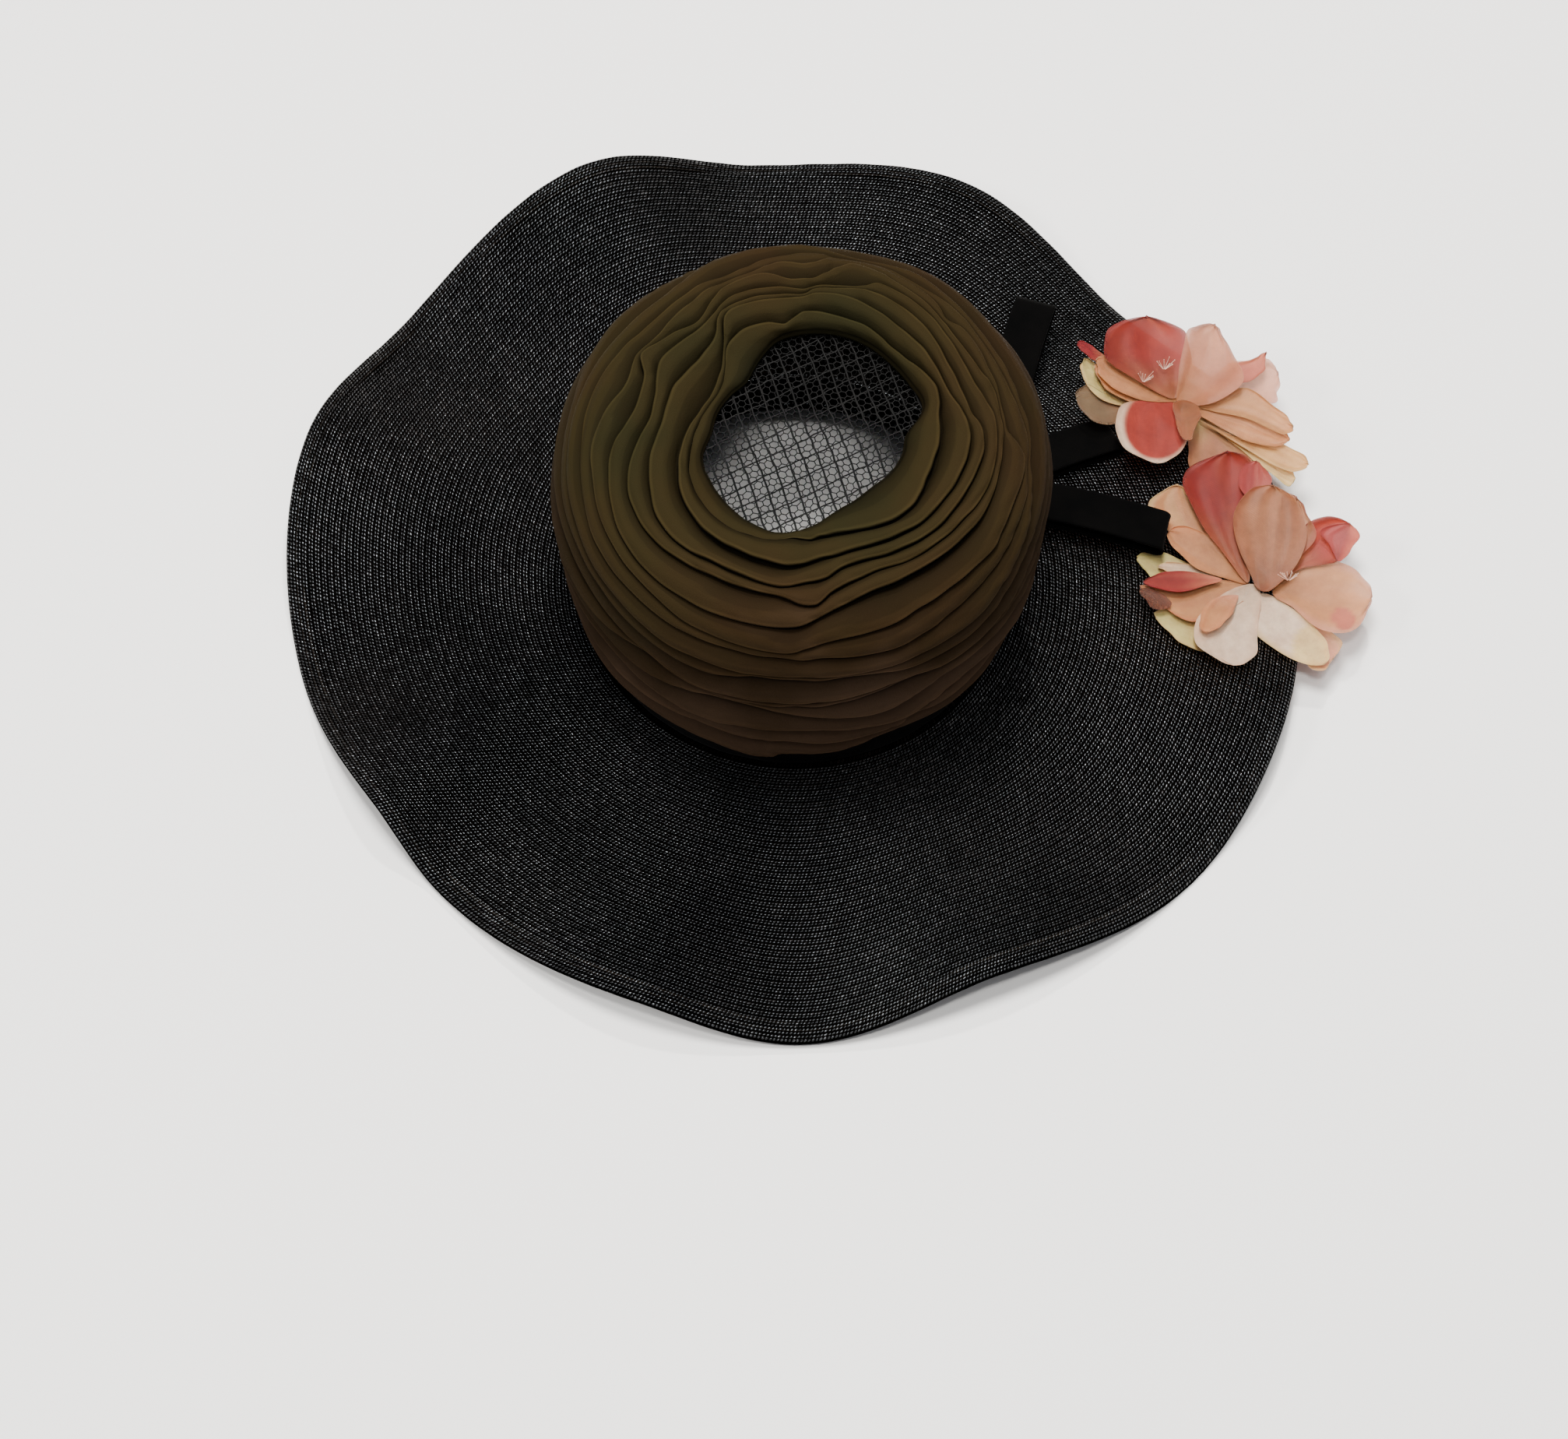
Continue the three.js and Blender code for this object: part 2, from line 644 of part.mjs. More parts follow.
function flower({ name, stem, lift, petals }) {
  const group = new THREE.Group();
  const seat = new THREE.Vector3(stem[0], stem[1], 0);
  const heightAt = (x, y) => brimHeight(THREE.MathUtils.radToDeg(Math.atan2(y, x)), Math.hypot(x, y));
  seat.z = heightAt(stem[0], stem[1]);
  const near = 5;
  const slopeX = (heightAt(stem[0] + near, stem[1]) - heightAt(stem[0] - near, stem[1])) / (2 * near);
  const slopeY = (heightAt(stem[0], stem[1] + near) - heightAt(stem[0], stem[1] - near)) / (2 * near);
  const normal = new THREE.Vector3(-slopeX, -slopeY, 1).normalize();
  group.quaternion.setFromUnitVectors(new THREE.Vector3(0, 0, 1), normal);
  group.position.copy(seat);
  const layers = Math.max(...petals.map((row) => row.layer)) + 1;
  const stemTop = flowerClear + layers * petalPitch + petalWall;
  const post = new THREE.CylinderGeometry(stemRadius, stemRadius, stemTop - gap, 12);
  post.rotateX(Math.PI / 2);
  post.translate(0, 0, gap + (stemTop - gap) / 2);
  addMesh(group, `${name}_stem`, post, material(0x3a3f22, 0.8));
  for (const row of petals) {
    const silk = material(petalColours[row.name], 0.8);
    const leaf = addMesh(group, `${name}_petal_${row.name}`, petal(row, lift), silk);
    leaf.position.z = flowerClear;
  }
  const tuft = addMesh(group, `${name}_stamens`, stamenTuft(), material(0xe3c6a4, 0.7));
  tuft.position.z = stemTop + gap;
  return group;
}

const hat = new THREE.Group();
addMesh(hat, 'brim', brim(), straw());
addMesh(hat, 'brim_edge', brimEdge(), straw());
addMesh(hat, 'crown_net', crownNet(), net());
addMesh(hat, 'crown_drape', crownDrape(), chiffon());
addMesh(hat, 'velvet_band', velvetBand(), velvet());
addMesh(hat, 'bow_knot', bowKnot(), velvet());
for (const row of bowLoops) addMesh(hat, row.name, bowLoop(row), velvet());
for (const row of flowers) hat.add(flower(row));

// The hat stands on the troughs of its brim, with the origin under the middle of its outline.
hat.updateMatrixWorld(true);
const bounds = new THREE.Box3().setFromObject(hat, true);
const middle = bounds.getCenter(new THREE.Vector3());
hat.position.set(-middle.x, -middle.y, -bounds.min.z);
hat.updateMatrixWorld(true);

const object = new THREE.Group();
object.add(hat);

export default object;
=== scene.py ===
import math

import bpy
import numpy as np
from mathutils import Matrix, Vector


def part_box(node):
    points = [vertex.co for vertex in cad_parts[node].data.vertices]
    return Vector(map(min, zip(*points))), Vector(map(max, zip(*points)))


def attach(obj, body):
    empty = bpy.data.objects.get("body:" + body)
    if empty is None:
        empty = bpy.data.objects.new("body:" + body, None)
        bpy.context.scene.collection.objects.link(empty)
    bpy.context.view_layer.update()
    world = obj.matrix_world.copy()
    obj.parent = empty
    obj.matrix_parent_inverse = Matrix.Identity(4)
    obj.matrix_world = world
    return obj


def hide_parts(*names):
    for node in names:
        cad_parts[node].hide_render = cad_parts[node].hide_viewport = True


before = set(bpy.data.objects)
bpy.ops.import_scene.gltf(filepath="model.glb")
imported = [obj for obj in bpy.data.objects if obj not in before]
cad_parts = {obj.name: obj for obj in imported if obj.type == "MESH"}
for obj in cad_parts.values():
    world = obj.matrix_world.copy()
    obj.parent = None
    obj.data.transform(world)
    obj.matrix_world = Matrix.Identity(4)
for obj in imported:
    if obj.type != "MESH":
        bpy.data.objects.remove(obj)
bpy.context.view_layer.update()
print("frame loaded")

# All shapes are worked out in millimetres from the middle of the head opening, at the underside
# of the flat ring of the brim. The band round the foot of the crown says where that is.
millimetre = 0.001  # in metres
bandFoot = 1.95  # the band stands this far over the underside of the flat ring
bandLow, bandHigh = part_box("velvet_band")
hatFoot = np.array([
    (bandLow[0] + bandHigh[0]) / 2, (bandLow[1] + bandHigh[1]) / 2, bandLow[2] - bandFoot * millimetre,
])
scene = bpy.context.scene


# camera
cameraPlan = {
    "distance": 2.0,  # metres from the middle of the head opening
    "elevation": 60.0,  # of the camera over the brim, in degrees
    "aimElevation": 61.81,  # tilt of the view axis, in degrees
    "aimLeft": 0.151,  # degrees to the left
    "lens": 101.7,  # millimetres
}


def addCamera(plan):
    camera = bpy.data.cameras.new("camera")
    camera.lens = plan["lens"]
    holder = bpy.data.objects.new("camera", camera)
    rise = math.radians(plan["elevation"])
    away = plan["distance"] * math.cos(rise)
    place = Vector(hatFoot) + Vector((0, -away, plan["distance"] * math.sin(rise)))
    turn = Matrix.Rotation(math.radians(90 - plan["aimElevation"]), 4, "X")
    pan = Matrix.Rotation(math.radians(plan["aimLeft"]), 4, "Y")
    holder.matrix_world = Matrix.Translation(place) @ turn @ pan
    scene.collection.objects.link(holder)
    scene.camera = holder


addCamera(cameraPlan)


# mesh tools
# Puts whole arrays into a mesh: points in millimetres, faces of four or three corners.
def makePiece(name, points, faces, uv=None, values=None, colours=None):
    mesh = bpy.data.meshes.new(name)
    faces = np.asarray(faces, dtype=np.int32)
    sides = faces.shape[1]
    mesh.vertices.add(len(points))
    mesh.vertices.foreach_set("co", (np.asarray(points) * millimetre + hatFoot).astype(np.float32).ravel())
    mesh.loops.add(faces.size)
    mesh.loops.foreach_set("vertex_index", faces.ravel())
    mesh.polygons.add(len(faces))
    mesh.polygons.foreach_set("loop_start", np.arange(0, faces.size, sides, dtype=np.int32))
    mesh.polygons.foreach_set("use_smooth", np.ones(len(faces), dtype=bool))
    if uv is not None:
        layer = mesh.uv_layers.new(name="weave")
        layer.uv.foreach_set("vector", np.asarray(uv, dtype=np.float32).ravel())
    for key, value in (values or {}).items():
        store = mesh.attributes.new(key, "FLOAT", "POINT")
        store.data.foreach_set("value", np.asarray(value, dtype=np.float32).ravel())
    if colours is not None:
        store = mesh.attributes.new("dye", "FLOAT_COLOR", "POINT")
        store.data.foreach_set("color", np.asarray(colours, dtype=np.float32).ravel())
    mesh.update(calc_edges=True)
    piece = bpy.data.objects.new(name, mesh)
    scene.collection.objects.link(piece)
    return piece


# Quads of a grid that closes both round the hat and round its own section.
def ringFaces(turns, steps):
    i, j = np.meshgrid(np.arange(turns), np.arange(steps), indexing="ij")
    nextI = (i + 1) % turns
    nextJ = (j + 1) % steps
    corners = [i * steps + j, nextI * steps + j, nextI * steps + nextJ, i * steps + nextJ]
    return np.stack(corners, axis=-1).reshape(-1, 4)


# Quads of an open tube of rings, each with as many points as there are spokes.
def tubeFaces(rings, spokes):
    i, j = np.meshgrid(np.arange(rings - 1) * spokes, np.arange(spokes), indexing="ij")
    far = (j + 1) % spokes
    return np.stack([i + j, i + far, i + spokes + far, i + spokes + j], axis=-1).reshape(-1, 4)


# Vectors of length one in the same directions.
def unit(vectors):
    return vectors / (np.linalg.norm(vectors, axis=-1, keepdims=True) + 1e-12)


# Closes a grid of points into a thin wall: the under side is the grid moved back by the wall along
# its normals, the cross products of its two directions, and the rim joins both.
def sheetGrid(top, wall):
    rows, columns = top.shape[:2]
    along = np.gradient(top, axis=0)
    across = np.gradient(top, axis=1)
    normal = unit(np.cross(along, across))
    under = top - normal * wall
    points = np.concatenate([top.reshape(-1, 3), under.reshape(-1, 3)])
    i, j = np.meshgrid(np.arange(rows - 1), np.arange(columns - 1), indexing="ij")
    a = i * columns + j
    quads = np.stack([a, a + columns, a + columns + 1, a + 1], axis=-1).reshape(-1, 4)
    below = quads[:, ::-1] + rows * columns
    border = np.concatenate([
        np.arange(rows - 1) * columns,
        (rows - 1) * columns + np.arange(columns - 1),
        np.arange(rows - 1, 0, -1) * columns + columns - 1,
        np.arange(columns - 1, 0, -1),
    ])
    after = np.roll(border, -1)
    rim = np.stack([after, border, border + rows * columns, after + rows * columns], axis=-1)
    return points, np.concatenate([quads, below, rim])


# Smooth curve through knots: a cubic on each span, with the slope at a knot taken from its two
# neighbours.
def hermite(knots, values, x):
    knots = np.asarray(knots, dtype=float)
    values = np.asarray(values, dtype=float)
    span = np.clip(np.searchsorted(knots, x, side="right") - 1, 1, len(knots) - 3)
    width = knots[span + 1] - knots[span]
    t = (x - knots[span]) / width
    slopeA = (values[span + 1] - values[span - 1]) / (knots[span + 1] - knots[span - 1]) * width
    slopeB = (values[span + 2] - values[span]) / (knots[span + 2] - knots[span]) * width
    start = (2 * t**3 - 3 * t**2 + 1) * values[span] + (t**3 - 2 * t**2 + t) * slopeA
    return start + (3 * t**2 - 2 * t**3) * values[span + 1] + (t**3 - t**2) * slopeB


# Closed smooth curve round the hat through (angle, value) pairs.
def aroundHat(degrees, angles, values):
    angles = np.asarray(angles, dtype=float)
    values = np.asarray(values, dtype=float)
    knots = np.concatenate([angles[-3:] - 360, angles, angles[:3] + 360])
    return hermite(knots, np.concatenate([values[-3:], values, values[:3]]), np.mod(degrees, 360))


# Points from their angle round the hat, radius and height.
def polar(degrees, radius, height):
    turn = np.radians(degrees)
    return np.stack([radius * np.cos(turn), radius * np.sin(turn), height], axis=-1)


# Even noise from a few crossed sine waves with seeded whole frequencies and phases.
def ripple(seed, a, b, waves, rangeA, rangeB):
    random = np.random.default_rng(seed)
    total = 0
    for _ in range(waves):
        countA = random.integers(rangeA[0], rangeA[1] + 1)
        countB = random.uniform(*rangeB)
        total = total + np.sin(countA * a + countB * b + random.uniform(0, 2 * np.pi))
    return total / math.sqrt(waves)


# Dresses a piece, makes it ride the root and hides the nodes that it stands for.
def finish(piece, slot, material, *nodes):
    piece.data.materials.append(material)
    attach(piece, "root")
    if nodes:
        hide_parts(*nodes)
    return piece


# material tools
def newMaterial(name):
    material = bpy.data.materials.new(name)
    material.use_nodes = True
    tree = material.node_tree
    return material, tree, tree.nodes["Principled BSDF"]


def put(tree, kind, **settings):
    node = tree.nodes.new(kind)
    for key, value in settings.items():
        setattr(node, key, value)
    return node


# One Math node. Numbers are set on its sockets and links are joined to them.
def maths(tree, operation, a, b=None, c=None):
    node = put(tree, "ShaderNodeMath", operation=operation)
    for socket, value in zip(node.inputs, (a, b, c)):
        if value is None:
            continue
        if isinstance(value, (int, float)):
            socket.default_value = value
        else:
            tree.links.new(value, socket)
    return node.outputs[0]


# A colour ramp from rows of place and colour.
def ramp(tree, factor, stops):
    node = put(tree, "ShaderNodeValToRGB")
    tree.links.new(factor, node.inputs["Fac"])
    elements = node.color_ramp.elements
    while len(elements) < len(stops):
        elements.new(0.5)
    for element, (place, colour) in zip(elements, stops):
        element.position = place
        element.color = (*colour, 1)
    return node.outputs["Color"]


# Stops of a ramp in plain greys.
def greys(*stops):
    return [(place, (grey, grey, grey)) for place, grey in stops]


def noise(tree, vector, scale, detail=3.0, roughness=0.55):
    node = put(tree, "ShaderNodeTexNoise")
    node.inputs["Scale"].default_value = scale
    node.inputs["Detail"].default_value = detail
    node.inputs["Roughness"].default_value = roughness
    tree.links.new(vector, node.inputs["Vector"])
    return node.outputs["Fac"]


# Mixes two colours, each of which may be a link, a number or three shares.
def mixColour(tree, factor, first, second, blend="MIX"):
    node = put(tree, "ShaderNodeMix", data_type="RGBA", blend_type=blend)
    for socket, value in ((node.inputs[0], factor), (node.inputs[6], first), (node.inputs[7], second)):
        if isinstance(value, (int, float)):
            socket.default_value = value
        elif isinstance(value, tuple):
            socket.default_value = (*value, 1)
        else:
            tree.links.new(value, socket)
    return node.outputs[2]


# A Bump node. It bends the normals of the one before it, and a shader takes what it gives.
def bump(tree, shader, height, strength, distance, before=None):
    node = put(tree, "ShaderNodeBump")
    node.inputs["Strength"].default_value = strength
    node.inputs["Distance"].default_value = distance
    tree.links.new(height, node.inputs["Height"])
    if before is not None:
        tree.links.new(before, node.inputs["Normal"])
    if shader is not None:
        tree.links.new(node.outputs["Normal"], shader.inputs["Normal"])
    return node.outputs["Normal"]


def objectPlace(tree):
    return put(tree, "ShaderNodeTexCoord").outputs["Object"]


def putScaled(tree, vector, scale):
    node = put(tree, "ShaderNodeMapping")
    node.inputs["Scale"].default_value = scale
    tree.links.new(vector, node.inputs["Vector"])
    return node.outputs["Vector"]


# The flat place on a cloth, whole and as its two measures.
def weavePlace(tree):
    place = put(tree, "ShaderNodeUVMap", uv_map="weave").outputs["UV"]
    split = put(tree, "ShaderNodeSeparateXYZ")
    tree.links.new(place, split.inputs[0])
    return place, split.outputs["X"], split.outputs["Y"]


# straw brim
brimPlan = {
    "headRadius": 91.0,
    "flatRadius": 97.0,  # out to here the brim lies flat
    "wall": 1.6,
    "droop": -17.0,
    "droopPower": 1.1,
    "wavePower": 1.8,
    "turns": 300,
    "rows": 43,  # rows of sewn braid from the crown to the hem
    "rowPitch": 2.9,
    "rowProud": 0.42,
    "rowUneven": 0.15,  # of the height of a row
    "unevenness": 0.45,
    # across one row of braid, on top and below: place in the row, and share of its full height
    "topRow": [(0.0, 0.0), (0.2, 0.78), (0.5, 1.0), (0.8, 0.86)],
    "underRow": [(0.0, 0.0), (0.5, 1.0)],
    # angle in degrees, reach and edge height in millimetres
    "waves": [
        (8, 229, -24), (27, 228, -15), (47, 221, -25), (70, 238, -10),
        (95, 242, -20), (114, 246, 4), (140, 240, -24), (160, 240, -8),
        (188, 227, -26), (210, 216, -9), (222, 214, -24), (251, 215, -11),
        (271, 218, -24), (294, 211, -9), (322, 224, -26), (341, 228, -13),
    ],
}
hemPlan = {
    "turns": 420,
    "width": 8.5,
    "overlap": 1.5,  # of the brim under the hem
    "wall": 2.6,
    "turnDown": 1.2,  # of the outer edge
    "rows": 3,
    "rowRadius": 219.0,
    "rowPitch": 2.8,
    "topRibs": 0.8,  # share of the ribs' height on top
    "underRibs": 0.6,
    "wobble": 0.12,
    "edge": (-60, -25, 10, 45),  # degrees round the outer edge
    # across the hem from its inner edge: place, and height of the ribs
    "ribs": [
        (0, -0.25), (0.04, 0.1), (0.1, -0.35), (0.16, 0.1), (0.22, 0.3), (0.3, 0.38), (0.36, 0.3),
        (0.42, 0.05), (0.5, 0.32), (0.58, 0.38), (0.64, 0.3), (0.7, 0.05), (0.78, 0.32),
        (0.86, 0.36), (0.93, 0.2), (0.98, 0),
    ],
}
waveAngles, waveReaches, waveHeights = np.array(brimPlan["waves"]).T


# How far the brim's edge lies from the middle.
def brimReach(degrees):
    return aroundHat(degrees, waveAngles, waveReaches)


# Height of the brim: flat to the ring, then a mean droop that grows almost straight outwards and
# the edge's wave that grows with a higher power of the same share.
def brimTop(degrees, radius, plan=brimPlan):
    share = (radius - plan["flatRadius"]) / (brimReach(degrees) - plan["flatRadius"])
    share = np.maximum(share, 0)
    wave = aroundHat(degrees, waveAngles, waveHeights) - plan["droop"]
    return plan["wall"] + plan["droop"] * share ** plan["droopPower"] + wave * share ** plan["wavePower"]


# The brim's section is a closed loop: along the under side outwards and along the top inwards, with
# one rounded rib for each row of braid on both sides.
def strawBrim(plan, hem):
    turns, rows = plan["turns"], plan["rows"]
    degrees = np.arange(turns)[:, None] * 360 / turns
    turn = np.radians(degrees)
    outer = brimReach(degrees) - hem["width"] + hem["overlap"]

    def side(section, sign):
        places, ribs = np.array(section).T
        row = np.append((np.arange(rows)[:, None] + places).ravel(), rows)
        rib = np.append(np.tile(ribs, rows), 0)
        radius = plan["flatRadius"] + (outer - plan["flatRadius"]) * row / rows
        uneven = plan["unevenness"] * ripple(11, turn, row, 6, (4, 19), (0.05, 0.3))
        vary = 1 + plan["rowUneven"] * ripple(5, turn, row, 4, (9, 40), (2, 9))
        height = brimTop(degrees, radius) + uneven * row / rows + sign * plan["rowProud"] * rib * vary
        return row, radius, height

    topRow, topRadius, topHeight = side(plan["topRow"], 1)
    underRow, underRadius, underHeight = side(plan["underRow"], -1)
    ring = np.full((turns, 1), plan["headRadius"])
    flat = np.zeros((turns, 1))
    radius = np.concatenate([ring, underRadius, topRadius[:, ::-1], ring], axis=1)
    height = np.concatenate(
        [flat, underHeight - plan["wall"], topHeight[:, ::-1], flat + plan["wall"]], axis=1
    )
    rowOf = np.concatenate([[-1], underRow, topRow[::-1], [-1]])
    points = polar(degrees, radius, height).reshape(-1, 3)
    return points, ringFaces(turns, len(rowOf)), braidUv(rowOf, turns, plan["flatRadius"], plan["rowPitch"])


# u runs along a row in millimetres at that row's own radius, and v counts the rows.
def braidUv(rowOf, turns, firstRadius, pitch):
    i, j = np.meshgrid(np.arange(turns), np.arange(len(rowOf)), indexing="ij")
    here = rowOf[j]
    there = rowOf[(j + 1) % len(rowOf)]
    row = np.floor((here + there) / 2)
    rowRadius = firstRadius + (row + 0.5) * pitch
    step = 2 * np.pi / turns
    first = i * step * rowRadius
    second = (i + 1) * step * rowRadius
    u = np.stack([first, second, second, first], axis=-1)
    v = np.stack([here, here, there, there], axis=-1)
    return np.stack([u, v], axis=-1).reshape(-1, 2)


# The hem's section is a flat doubled band of three braid rows: a groove with the stitching at its
# inner edge, a low crown, and an outer edge that turns down and is rounded.
def strawHem(plan, brim):
    turns = plan["turns"]
    degrees = np.arange(turns)[:, None] * 360 / turns
    reach = brimReach(degrees)
    half = plan["wall"] / 2
    across, ribs = np.array(plan["ribs"]).T
    radius = reach - plan["width"] + across * plan["width"]
    middle = brimTop(degrees, radius) - brim["wall"] / 2 - plan["turnDown"] * across**3
    wobble = plan["wobble"] * ripple(23, np.radians(degrees), across * 6, 5, (20, 90), (0.5, 3))
    top = middle + half + ribs * plan["topRibs"] + wobble
    under = middle - half - ribs * plan["underRibs"] - wobble
    edge = np.radians(np.array(plan["edge"]))
    edgeRadius = reach - half + half * np.cos(edge)
    edgeHeight = brimTop(degrees, reach) - brim["wall"] / 2 - plan["turnDown"] + half * np.sin(edge)
    loopRadius = np.concatenate([radius, edgeRadius, radius[:, ::-1]], axis=1)
    loopHeight = np.concatenate([under, edgeHeight, top[:, ::-1]], axis=1)
    rowOf = np.concatenate([across, np.ones(len(edge)), across[::-1]]) * plan["rows"]
    points = polar(degrees, loopRadius, loopHeight).reshape(-1, 3)
    return points, ringFaces(turns, len(rowOf)), braidUv(rowOf, turns, plan["rowRadius"], plan["rowPitch"])


strawLook = {
    "strawLength": 1.75,  # millimetres along a row
    "slant": 0.6,  # of a straw over the width of its line, in straws
    "lineShift": 0.37,  # of a line of straws against the next, in straws
    "waver": 0.6,  # of the cuts between straws, in straws
    "waverScale": 420,
    "endFall": 2.3,  # how soon a straw sinks towards its ends
    "sideFall": 2.4,  # and towards its sides
    "tilt": 0.32,  # how far a straw may lean its own way
    "seam": -4.4,  # how soon the painted glint and the gloss fall towards the seams of the braid
    "patchScale": 9,
    "lineLight": 1.22,  # of the first line of a row
    "lineDrop": -0.42,  # from the first line of a row to the second
    "hemLineDrop": -0.1,
    "tint": [(0.3, (0.0016, 0.0014, 0.0013)), (0.7, (0.0042, 0.0031, 0.0025))],
    # painted glint: each straw's colour lighter on its crest, falling towards its ends, sides and seams
    "paintedGlint": [(0.1, (0.2, 0.2, 0.2)), (0.95, (2.6, 2.4, 2.2))],
    # painted sparkle: a random brightening of each straw's colour
    "paintedSparkle": [
        (0.0, (0.7, 0.7, 0.7)), (0.5, (1.0, 1.0, 1.0)), (0.85, (1.5, 1.55, 1.65)), (1.0, (2.9, 3.05, 3.3)),
    ],
    "gloss": greys((0.0, 0.55), (0.55, 0.85), (0.85, 1.15), (1.0, 1.6)),
    "glossPatches": 2.15,
    "coolLight": (0.82, 0.92, 1.0, 1),
    "rough": 0.5,
    "smoothed": -0.28,  # less rough where a straw stands proud
    "stitching": greys(
        (0.03, 0.0), (0.07, 1.0), (0.11, 1.0), (0.14, 0.0), (0.4, 0.0), (0.42, 0.7), (0.45, 0.7), (0.47, 0.0)
    ),
    "stitchTint": (0.011, 0.0076, 0.0046),
    "stitchScale": 160,
    "stitchShare": 1.1,
}


# Cuts the rows into straws: each row has two lines, and a line is cut at even steps of a slanted,
# wavering u. A straw stands proud by one less the squares of its distances from its middle.
def strawCells(tree, look, u, v):
    doubled = maths(tree, "MULTIPLY", v, 2.0)
    line = maths(tree, "FRACT", doubled)
    slanted = maths(tree, "DIVIDE", u, look["strawLength"])
    slanted = maths(tree, "MULTIPLY_ADD", line, look["slant"], slanted)
    slanted = maths(tree, "MULTIPLY_ADD", maths(tree, "FLOOR", doubled), look["lineShift"], slanted)
    uneven = noise(tree, objectPlace(tree), look["waverScale"], 2)
    slanted = maths(tree, "MULTIPLY_ADD", uneven, look["waver"], slanted)
    falls = []
    for share, fall in ((maths(tree, "FRACT", slanted), look["endFall"]), (line, look["sideFall"])):
        off = maths(tree, "ABSOLUTE", maths(tree, "SUBTRACT", share, 0.5))
        falls.append(maths(tree, "POWER", maths(tree, "MULTIPLY", off, fall), 2))
    proud = maths(tree, "SUBTRACT", 1.0, maths(tree, "ADD", *falls))
    proud.node.use_clamp = True
    cell = put(tree, "ShaderNodeCombineXYZ")
    tree.links.new(maths(tree, "FLOOR", slanted), cell.inputs["X"])
    tree.links.new(maths(tree, "FLOOR", doubled), cell.inputs["Y"])
    own = put(tree, "ShaderNodeTexWhiteNoise", noise_dimensions="2D")
    tree.links.new(cell.outputs[0], own.inputs["Vector"])
    return proud, own


# The surface's normal, leant a little by a straw's own random colour.
def leantNormal(tree, random, tilt):
    lean = put(tree, "ShaderNodeVectorMath", operation="MULTIPLY_ADD")
    tree.links.new(random, lean.inputs[0])
    lean.inputs[1].default_value = (tilt, tilt, tilt / 2)
    lean.inputs[2].default_value = (-tilt / 2, -tilt / 2, -tilt / 4)
    turned = put(tree, "ShaderNodeVectorMath", operation="ADD")
    tree.links.new(put(tree, "ShaderNodeNewGeometry").outputs["Normal"], turned.inputs[0])
    tree.links.new(lean.outputs[0], turned.inputs[1])
    facet = put(tree, "ShaderNodeVectorMath", operation="NORMALIZE")
    tree.links.new(turned.outputs[0], facet.inputs[0])
    return facet.outputs[0]


# Black sewn straw. Each straw is tilted and polished a little its own way, so that some of them catch
# a light, and its colour carries a painted sparkle of its own and a painted glint, lighter on its
# crest and darker towards the seams. The hem has lines of brown stitching.
def strawMaterial(name, look, hem=None):
    material, tree, shader = newMaterial(name)
    _, u, v = weavePlace(tree)
    proud, own = strawCells(tree, look, u, v)
    broad = noise(tree, objectPlace(tree), look["patchScale"], 4)
    row = maths(tree, "FRACT", v)
    seam = maths(tree, "POWER", maths(tree, "ABSOLUTE", maths(tree, "SUBTRACT", row, 0.5)), 2)
    seam = maths(tree, "MULTIPLY_ADD", seam, look["seam"], 1.0)
    seam.node.use_clamp = True
    line = maths(tree, "GREATER_THAN", row, 0.5)
    line = maths(tree, "MULTIPLY_ADD", line, look["hemLineDrop" if hem else "lineDrop"], look["lineLight"])
    # painted glint and painted sparkle in the colour of each straw
    paintedGlint = ramp(tree, maths(tree, "MULTIPLY", proud, seam), look["paintedGlint"])
    paintedGlint = mixColour(tree, 1.0, paintedGlint, ramp(tree, own.outputs["Value"], look["paintedSparkle"]), "MULTIPLY")
    tint = mixColour(tree, 1.0, ramp(tree, broad, look["tint"]), line, "MULTIPLY")
    colour = mixColour(tree, 1.0, tint, paintedGlint, "MULTIPLY")
    if hem:
        groove = ramp(tree, maths(tree, "DIVIDE", v, hem["rows"]), look["stitching"])
        patchy = noise(tree, objectPlace(tree), look["stitchScale"], 3)
        patchy = maths(tree, "MULTIPLY", patchy, look["stitchShare"])
        colour = mixColour(tree, maths(tree, "MULTIPLY", groove, patchy), colour, look["stitchTint"])
    tree.links.new(colour, shader.inputs["Base Color"])
    rough = maths(tree, "MULTIPLY_ADD", proud, look["smoothed"], look["rough"])
    tree.links.new(rough, shader.inputs["Roughness"])
    gloss = maths(tree, "MULTIPLY", ramp(tree, own.outputs["Value"], look["gloss"]), line)
    gloss = maths(tree, "MULTIPLY", gloss, maths(tree, "MULTIPLY", broad, look["glossPatches"]))
    shine = maths(tree, "MULTIPLY", maths(tree, "MULTIPLY", maths(tree, "POWER", proud, 2), seam), gloss)
    tree.links.new(shine, shader.inputs["Specular IOR Level"])
    shader.inputs["Specular Tint"].default_value = look["coolLight"]
    bump(tree, shader, proud, 0.7, 0.0004, leantNormal(tree, own.outputs["Color"], look["tilt"]))
    return material


piece = makePiece("strawBrim", *strawBrim(brimPlan, hemPlan))
finish(piece, "straw", strawMaterial("sewnStraw", strawLook), "brim")
piece = makePiece("strawHem", *strawHem(hemPlan, brimPlan))
finish(piece, "straw", strawMaterial("hemStraw", strawLook, hemPlan), "brim_edge")
print("brim and hem made")


